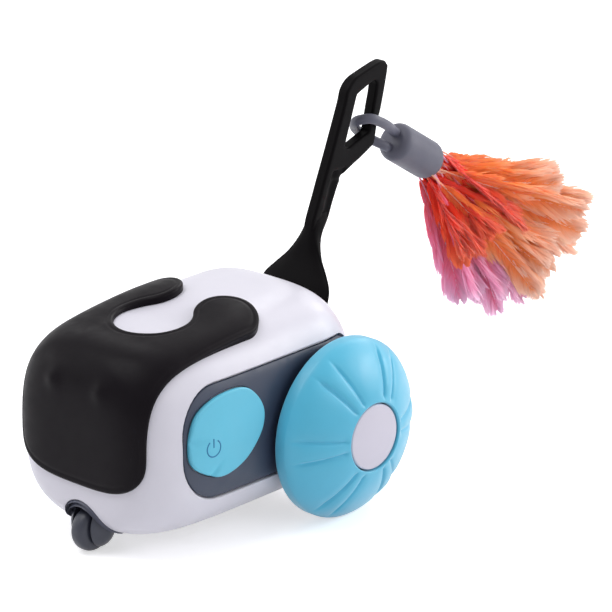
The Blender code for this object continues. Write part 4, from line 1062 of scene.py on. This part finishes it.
def feather_tip(rng, angle, side, shares):
    """A tip by the way it points, seen from the front left, and how far it leans to a side."""
    best, target = None, math.radians(angle)
    for pitch in np.linspace(-88, 15, 104):
        way = heading(pitch, side)
        across, up = SEEN_ACROSS @ way, SEEN_UP @ way
        miss = abs(math.atan2(up, across) - target)
        if best is None or miss < best[0]:
            best = (miss, way, math.hypot(across, up))
    reach = np.interp(angle, *REACHES.T) / best[2]
    return ROOT + best[1] * min(reach * rng.uniform(*shares), FARTHEST_TIP)


def make_feathers():
    rng = np.random.default_rng(11)
    barbs = 240
    for name, count, ways, leans, reach, shares, colours in BUNCHES:
        feathers, tints = [], []
        for index in range(count):
            angle = ways[0] + (ways[1] - ways[0]) * (index + 0.5) / count + rng.uniform(-2, 2)
            lean = leans[0] + (leans[1] - leans[0]) * ((index * 0.618) % 1)
            tip = feather_tip(rng, angle, lean, shares)
            verts, faces, tint = feather(rng, tip, math.pi / 2 + rng.uniform(-0.9, 0.9), barbs, reach)
            feathers.append((verts, faces))
            tints.append(tint)
        bunch = piece("feathers_" + name, *join(*feathers), feather_material("feather_" + name))
        tinted = feather_colours(np.vstack(tints), *[linear(rgb) for rgb in colours])
        layer = bunch.data.color_attributes.new("tint", "FLOAT_COLOR", "POINT")
        layer.data.foreach_set("color", np.hstack((tinted, np.ones((len(tinted), 1)))).ravel())
        dress(bunch, "lure", "feather_" + name, "feather_" + name)


# Wheels

PAIRS, PAIR_HALF = 6, 8
PAIR_TURNS = [360 / PAIRS * k for k in range(PAIRS)]
CREASES = [math.radians(turn + side * PAIR_HALF) for turn in PAIR_TURNS for side in (-1, 1)]
# A crease is a narrow groove in a broad one, each as (depth, half width)
GROOVES = ((0.00042, 0.00055), (0.00034, 0.0017))
CREASE_INNER, CREASE_OUTER = 0.0098, 0.0249
WEDGE_HEIGHT, WEDGE_HALF, WEDGE_SLOPE = 0.00022, math.radians(8.5), math.radians(2.5)
WHEEL_RADIUS, TREAD_X, FACE_X, HUB_RADIUS, DOME_POWER = 0.025, 0.0338, 0.0442, 0.0095, 1.43
TYRE_WALL, RIM_RADIUS, RIM_X, RIM_END = 0.0024, 0.0226, 0.0298, 0.032
HUB_LIP, CAP_RADIUS, CAP_EDGE, CAP_DOME, CAP_BACK = 0.0005, 0.0091, 0.0005, 0.0004, 0.0419
# Fine steps in degrees stay within this of each crease
CREASE_SPAN = 3.4


def dome(radius, face, steps):
    """From the hub's edge out over the tyre's face to its tread, as (radius, out)."""
    turn = np.linspace(math.pi / 2, 0, steps)
    return np.stack((HUB_RADIUS + (radius - HUB_RADIUS) * power(np.cos(turn), 2 / DOME_POWER),
                     TREAD_X + (face - TREAD_X) * power(np.sin(turn), 2 / DOME_POWER)), -1)


def from_angle(turn, angle):
    """How far a turn lies from an angle, the short way round."""
    return (turn - angle + math.pi) % math.tau - math.pi


def crease_relief(radius, turn):
    """Pairs of soft creases fan out from the hub, the wedge between each pair a little raised."""
    height = np.zeros_like(radius)
    for angle in CREASES:
        gap = radius * np.sin(np.clip(from_angle(turn, angle), -0.6, 0.6))
        height -= sum(depth * np.exp(-(gap / width) ** 2) for depth, width in GROOVES)
    for angle in PAIR_TURNS:
        gap = np.abs(from_angle(turn, math.radians(angle)))
        height += WEDGE_HEIGHT * smooth((WEDGE_HALF - gap) / WEDGE_SLOPE)
    return height * smooth((radius - CREASE_INNER) / 0.0022) * smooth((CREASE_OUTER - radius) / 0.0038)


def crease_turns(fine, coarse):
    """Turns around the wheel, with fine steps at the creases and coarse ones between them."""
    turns, span = [], math.radians(CREASE_SPAN)
    marks = sorted(angle % math.tau for angle in CREASES)
    for mark, after in zip(marks, marks[1:] + [marks[0] + math.tau]):
        left = after - mark - 2 * span
        steps = max(int(round(math.degrees(left) / coarse)), 1)
        turns += list(mark + np.radians(np.arange(0, CREASE_SPAN, fine)))
        turns += list(mark + span + left * np.arange(steps) / steps)
        turns += list(after - np.radians(np.arange(CREASE_SPAN, 0, -fine)))
    return np.array(turns)


def tyre_shape():
    """The turns of the tyre's rows, and its points as radii and places along the axle."""
    turn = crease_turns(0.4, 1.2)
    skin = resample(dome(WHEEL_RADIUS, FACE_X, 600), 0.0001, False)
    skin = pick(np.linspace(0, len(skin) - 1, 64), np.arange(len(skin)), skin)
    lip = arc((HUB_RADIUS + HUB_LIP, FACE_X - HUB_LIP), HUB_LIP, 180, 100, 6)
    skin = np.vstack((lip, skin[skin[:, 0] > HUB_RADIUS + HUB_LIP + 0.0001]))
    roll = np.vstack((arc((0.0242, 0.0312), 0.0008, 0, -60, 3), arc((0.0235, 0.0305), 0.0007, -60, -90, 3)))
    roll[:, 0] = np.minimum(roll[:, 0], WHEEL_RADIUS)
    back = dome(WHEEL_RADIUS - TYRE_WALL, FACE_X - TYRE_WALL, 12)[::-1]
    line = np.vstack((skin, roll, [(RIM_RADIUS, RIM_X), (RIM_RADIUS, RIM_END)], back))
    tangent = unit(np.gradient(line, axis=0))
    normal = np.stack((-tangent[:, 1], tangent[:, 0]), -1)
    normal = normal * np.sign(normal[len(skin) // 2, 1])
    relief = crease_relief(*np.broadcast_arrays(line[:, :1], turn))
    relief[len(skin):] = 0
    return turn, line[:, :1] + relief * normal[:, :1], line[:, 1:] + relief * normal[:, 1:]


def cap_outline():
    """The bare cap, slightly domed, as (radius, out)."""
    flat = CAP_RADIUS - CAP_EDGE
    face = [(r, FACE_X - CAP_DOME * (r / CAP_RADIUS) ** 2) for r in np.linspace(0.0008, flat, 14)]
    edge = arc((flat, FACE_X - 0.00085), CAP_EDGE, 90, 0, 6)
    return np.vstack(([(0, FACE_X)], face, edge, [(CAP_RADIUS, CAP_BACK), (0, CAP_BACK)]))


def make_wheels():
    turn, radius, out = tyre_shape()
    faces = grid_faces(len(radius), len(turn), ring=True)
    for name, side in SIDES:
        verts = np.stack((out * side, radius * np.cos(turn), radius * np.sin(turn) + AXLE_Z), -1)
        tyre = piece("tyre_skin_" + name, verts.reshape(-1, 3), turn_over(faces) if side > 0 else faces,
                     TYRE_BLUE, 60)
        dress(tyre, name + "_wheel", "tyre_blue", "tyre_" + name)
        cap = turned(cap_outline(), 96, (0, 0, AXLE_Z), side)
        cap = piece("hub_cap_skin_" + name, *cap, LILAC, 45)
        dress(recalc(cap), name + "_wheel", "cap_lilac", "hub_cap_" + name)


# Caster

COLLAR_WALL, STEM_HOLE = 0.0009, 0.0018
# The fork: a ball, narrowed lengthwise, with a slot for the wheel, a crown and a headed stem
BALL_RADIUS, BALL_RISE, BALL_LENGTHWISE, SLOT_HALF, SLOT_TOP = 0.0066, 0.0012, 0.78, 0.0034, 0.0126
CROWN = rod(0.0034, 0.014, 0.0122)
STEM = [(0, 0.0127), (0.0015, 0.0127), (0.0015, 0.0165), (0.0027, 0.0165), (0.0027, 0.0177), (0, 0.0177)]
# The wheel: its place behind the swivel's axis, the height of its axle and its tread
TRAIL, CASTER_AXLE_Z, TREAD_HALF, TREAD_POWER = 0.0008, 0.0061, 0.0026, 2.6


def make_collar(steps):
    collar = turned_z("caster_collar_skin", well_outline(0), CASTER_PLACE, steps)
    cut(collar, turned_z("inside", well_outline(-COLLAR_WALL), CASTER_PLACE, steps))
    cut(collar, solid_form("lip", 0.0004, 96, 64), "INTERSECT")
    cut(collar, turned_z("stem_hole", rod(STEM_HOLE, 0, 0.03), CASTER_PLACE, 24))
    # The collar takes the lighter slate, painted light against the shade in its well
    polish(collar, COLLAR_PAINTED_LIGHT)
    dress(collar, "car", "slate", "caster_collar")


def make_fork(steps):
    half = np.radians(np.linspace(-90, 90, 41))
    ball = BALL_RADIUS * np.stack((np.cos(half), np.sin(half)), -1) + (0, CASTER_AXLE_Z + BALL_RISE)
    fork = turned_z("caster_fork_skin", ball, (0, 0, 0), steps)
    for change in (Matrix.Translation(-SHIFT), Matrix.Diagonal((1, BALL_LENGTHWISE, 1, 1)),
                   Matrix.Translation(Vector(CASTER_PLACE) + SHIFT)):
        fork.data.transform(change)
    cut(fork, turned_z("crown", CROWN, CASTER_PLACE, 48), "UNION")
    y = CASTER_PLACE[1] - TRAIL
    slot = box_outline((-SLOT_HALF, y - 0.02), (SLOT_HALF, y + 0.02))
    cut(fork, slab("slot", slot, -0.01, SLOT_TOP, 2))
    cut(fork, turned_z("stem", STEM, CASTER_PLACE, 32), "UNION")
    polish(fork, CASTER)
    dress(fork, "swivel", "slate", "caster_fork")


def make_caster():
    steps = 96
    make_collar(steps)
    make_fork(steps)
    turn = np.linspace(math.pi / 2, -math.pi / 2, 33)
    half = CASTER_AXLE_Z / 2
    tread = np.stack((half + half * power(np.maximum(np.cos(turn), 0), 2 / TREAD_POWER),
                      TREAD_HALF * power(np.sin(turn), 2 / TREAD_POWER)), -1)
    line = np.vstack(([(0.0011, 0.0024), (0.0022, 0.0026)], tread, [(0.0022, -0.0026), (0.0011, -0.0024)]))
    place = (0, CASTER_PLACE[1] - TRAIL, CASTER_AXLE_Z)
    wheel = piece("caster_wheel_skin", *turned(line, steps, place, ring=True), CASTER, 40)
    dress(recalc(wheel), "front_wheel", "slate", "caster_wheel")


# Tail

TAIL_AT, TAIL_SIZE = np.array((0.0215, 0.068)), np.array((0.031, 0.042))
TAIL_SHARES = ((0.0, 0.0), (0.11, 0.22), (0.268, 0.495), (0.423, 0.774), (0.468, 0.871),
               (0.55, 0.93), (0.677, 0.96), (0.93, 1.0), (0.99, 0.975), (1.0, 0.929),
               (0.919, 0.693), (0.868, 0.595), (0.826, 0.462), (0.768, 0.429), (0.629, 0.381),
               (0.532, 0.352), (0.385, 0.293), (0.29, 0.17), (0.205, 0.03), (0.11, -0.06))
WINDOW_SHARES = ((0.416, 0.462), (0.755, 0.545), (0.812, 0.714), (0.840, 0.79),
                 (0.868, 0.900), (0.597, 0.826))
TAIL_POINTS, WINDOW = [TAIL_AT + np.array(shares) * TAIL_SIZE for shares in (TAIL_SHARES, WINDOW_SHARES)]
TAIL_HALF, TAIL_EDGE, WINDOW_ROUND = 0.0018, 0.0007, 0.0012
GROOVE_TOP, GROOVE_DEPTH, NOOK_DEPTH = TAIL_AT[1] + 0.0152, 0.0004, 0.0005
# The foot's flare upwards: share of its height, width, place of its front and depth
FLARE_SHARES = np.array(((-0.12, 1.02, 0.06, 0.62), (0.0, 1.0, 0.04, 0.56), (0.154, 1.0, 0.071, 0.5),
                         (0.308, 0.952, 0.276, 0.35), (0.442, 0.73, 0.459, 0.35),
                         (0.577, 0.476, 0.612, 0.38), (0.75, 0.262, 0.735, 0.68),
                         (0.923, 0.167, 0.929, 1.0), (1.0, 0.155, 1.0, 0.98)))
FLARE_LOW, FLARE_HEIGHT, FLARE_HALF_WIDTH = 0.046, 0.026, 0.0126
FLARE_FRONT, FLARE_RUN, FLARE_HALF_DEPTH, FLARE_POWER = 0.0132, 0.0098, 0.003, 3


def soft_plate(outline, window, half, edge, spacing, relief):
    """A flat plate in the YZ plane with rounded edges inside and out."""
    rings = round_edge(edge, half, 5)
    outer = [offset(outline, -inset) for inset, _height in rings]
    inner = [offset(window, inset) for inset, _height in rings]
    points, faces, source = filled([outer[-1], inner[-1]], spacing, 0.5, outline)
    a, b, last = len(outline), len(window), len(rings) - 1
    base = last * (a + b)
    faces = shift_faces(faces, base)
    plane = np.vstack(outer[:-1] + inner[:-1] + [points])
    height = np.concatenate([np.full(count, ring[1]) for count in (a, b) for ring in rings[:-1]]
                            + [np.full(len(points), half)]) + relief(plane)
    sides = ([[k * a + i for i in range(a)] for k in range(last)] + [[base + source[i] for i in range(a)]],
             [[last * a + k * b + i for i in range(b)] for k in range(last)]
             + [[base + source[a + i] for i in range(b)]])
    for k in range(last):
        faces += band(sides[0][k], sides[0][k + 1])
        faces += band(sides[1][k], sides[1][k + 1], True)
    count = len(plane)
    faces += turn_over(shift_faces(faces, count))
    for loops, inwards in zip(sides, (False, True)):
        faces += band(loops[0], [i + count for i in loops[0]], inwards)
    return np.vstack((np.column_stack((height, plane)), np.column_stack((-height, plane)))), faces


def tail_groove(points):
    """A shallow step that runs down the side of the stem behind its front edge."""
    z = points[:, 1]
    gap = (points[:, 0] - np.interp(z, TAIL_POINTS[:4, 1], TAIL_POINTS[:4, 0])) * 0.87
    run = smooth((GROOVE_TOP - z) / 0.0006) * smooth((z - 0.066) / 0.002)
    step = smooth((gap - 0.0022) / 0.0004) * smooth((0.0052 - gap) / 0.0022)
    nook = smooth((gap - 0.0026) / 0.0003) * smooth((GROOVE_TOP - z) / 0.0004)
    nook = nook * smooth((z - GROOVE_TOP + 0.0038 - (0.0062 - gap) * 0.2) / 0.0012)
    return -GROOVE_DEPTH * step * run - NOOK_DEPTH * nook * smooth((0.0072 - gap) / 0.0008)


def make_flare():
    """Points and faces of the tail's foot, from the roof up into its stem."""
    fine = catmull(FLARE_SHARES, 12, False)
    turn, rows = circle(72), []
    for share, wide, front, deep in pick(np.linspace(-0.12, 1, 72), fine[:, 0], fine):
        depth, close = deep * FLARE_HALF_DEPTH, 1 - 0.12 * smooth((share - 0.9) / 0.1)
        middle = FLARE_FRONT + front * FLARE_RUN + depth
        rows.append(np.stack((wide * FLARE_HALF_WIDTH * power(np.cos(turn), 2 / FLARE_POWER) * close,
                              middle + depth * power(np.sin(turn), 2 / FLARE_POWER) * close,
                              np.full(len(turn), FLARE_LOW + share * FLARE_HEIGHT)), -1))
    count, total = len(turn), len(rows) * len(turn)
    caps = [tuple(range(count - 1, -1, -1)), tuple(range(total - count, total))]
    return np.vstack(rows), grid_faces(len(rows), count) + caps


def make_tail():
    spacing = 0.0004
    window = rounded([tuple(p) for p in WINDOW], [WINDOW_ROUND] * len(WINDOW), 6)
    outline = anticlockwise(resample(catmull(TAIL_POINTS, 8, True), spacing))
    window = anticlockwise(resample(window, spacing))
    loop = soft_plate(outline, window, TAIL_HALF, TAIL_EDGE, spacing * 1.6, tail_groove)
    tail = piece("tail_skin", *join(loop, make_flare()), TAIL_BLACK, 50)
    dress(recalc(tail), "car", "tail_black", "tail")


# Strap and holder

STRAP_SIZE, STRAP_RADIUS, STRAP_SUNK = (0.0043, 0.0165, 0.0023), 0.0014, 0.002
STRAP_SHARES = ((0.1, 0.01, 1.0), (0.12, 0.11, 1.0), (0.76, 0.457, 0.9), (0.98, 0.63, 0.84),
                (1.0, 0.8, 0.78), (0.8, 1.0, 0.6), (0.0, 1.05, -0.1), (-0.7, 0.86, -0.5),
                (-1.0, 0.65, -0.74), (-0.75, 0.36, -0.95), (-0.14, 0.12, -1.0), (-0.1, 0.01, -1.0))
HOLDER_FACE, HOLDER_RADIUS, HOLDER_LENGTH = np.array((0, 0.0567, 0.0855)), 0.0056, 0.0202
NEAR_ROUND, FAR_ROUND = 0.0026, 0.0038


def make_strap():
    """The strap's route is (across, out from the holder's face, up)."""
    route = catmull(np.array(STRAP_SHARES) * STRAP_SIZE, 10, False)
    route[:, 1] -= np.where(route[:, 1] < 0.0004, STRAP_SUNK, 0)
    points = (HOLDER_FACE + route[:, :1] * (1, 0, 0) - route[:, 1:2] * HOLDER_AXIS
              + (route[:, 2:] - 0.0002) * HOLDER_UP)
    strap = piece("strap_skin", *tube(resample(points, 0.0004, False), STRAP_RADIUS, 24), GREY, 60)
    dress(strap, "lure", "grey_rubber", "feather_strap")


def make_holder():
    line = np.vstack((
        [(0, -0.0002), (0.0020, -0.0001)],
        arc((HOLDER_RADIUS - NEAR_ROUND, 0.0024), NEAR_ROUND, -84, 0, 12),
        [(HOLDER_RADIUS, out) for out in np.linspace(0.003, HOLDER_LENGTH - 0.0042, 10)],
        arc((HOLDER_RADIUS - FAR_ROUND, HOLDER_LENGTH - FAR_ROUND), FAR_ROUND, 0, 90, 16),
        [(0, HOLDER_LENGTH)]))
    turn = circle(96)[:, None]
    around = np.cos(turn) * (1, 0, 0) + np.sin(turn) * HOLDER_UP
    verts = HOLDER_FACE + line[:, None, 1:] * HOLDER_AXIS + line[:, None, :1] * around
    holder = piece("holder_skin", verts.reshape(-1, 3), grid_faces(len(line), len(turn)), GREY, 50)
    dress(recalc(holder), "lure", "grey_rubber", "feather_holder")


# Parts kept from the CAD model

def dress_kept():
    kept = {"belly_plate": WHITE, "motor_frame": SLATE, "tact_switch": BLACK, "usb_port": STEEL,
            "circuit_board": BOARD, "battery": FOIL, "caster_axle": STEEL}
    kept.update({"belly_screw_%d" % k: STEEL for k in range(1, 5)})
    for name, _side in SIDES:
        kept.update({"wheel_core_" + name: SLATE, "axle_" + name: STEEL, "drive_gear_" + name: NYLON,
                     "axle_bush_" + name: BRASS, "motor_" + name: STEEL, "motor_pinion_" + name: NYLON})
    for name, material in kept.items():
        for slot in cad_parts[name].material_slots:
            slot.link = "OBJECT"
            slot.material = material


make_camera()
make_lights()
make_shell()
make_mask()
make_panels()
make_pads()
make_wheels()
make_caster()
make_tail()
make_strap()
make_holder()
make_feathers()
dress_kept()
make_floor()
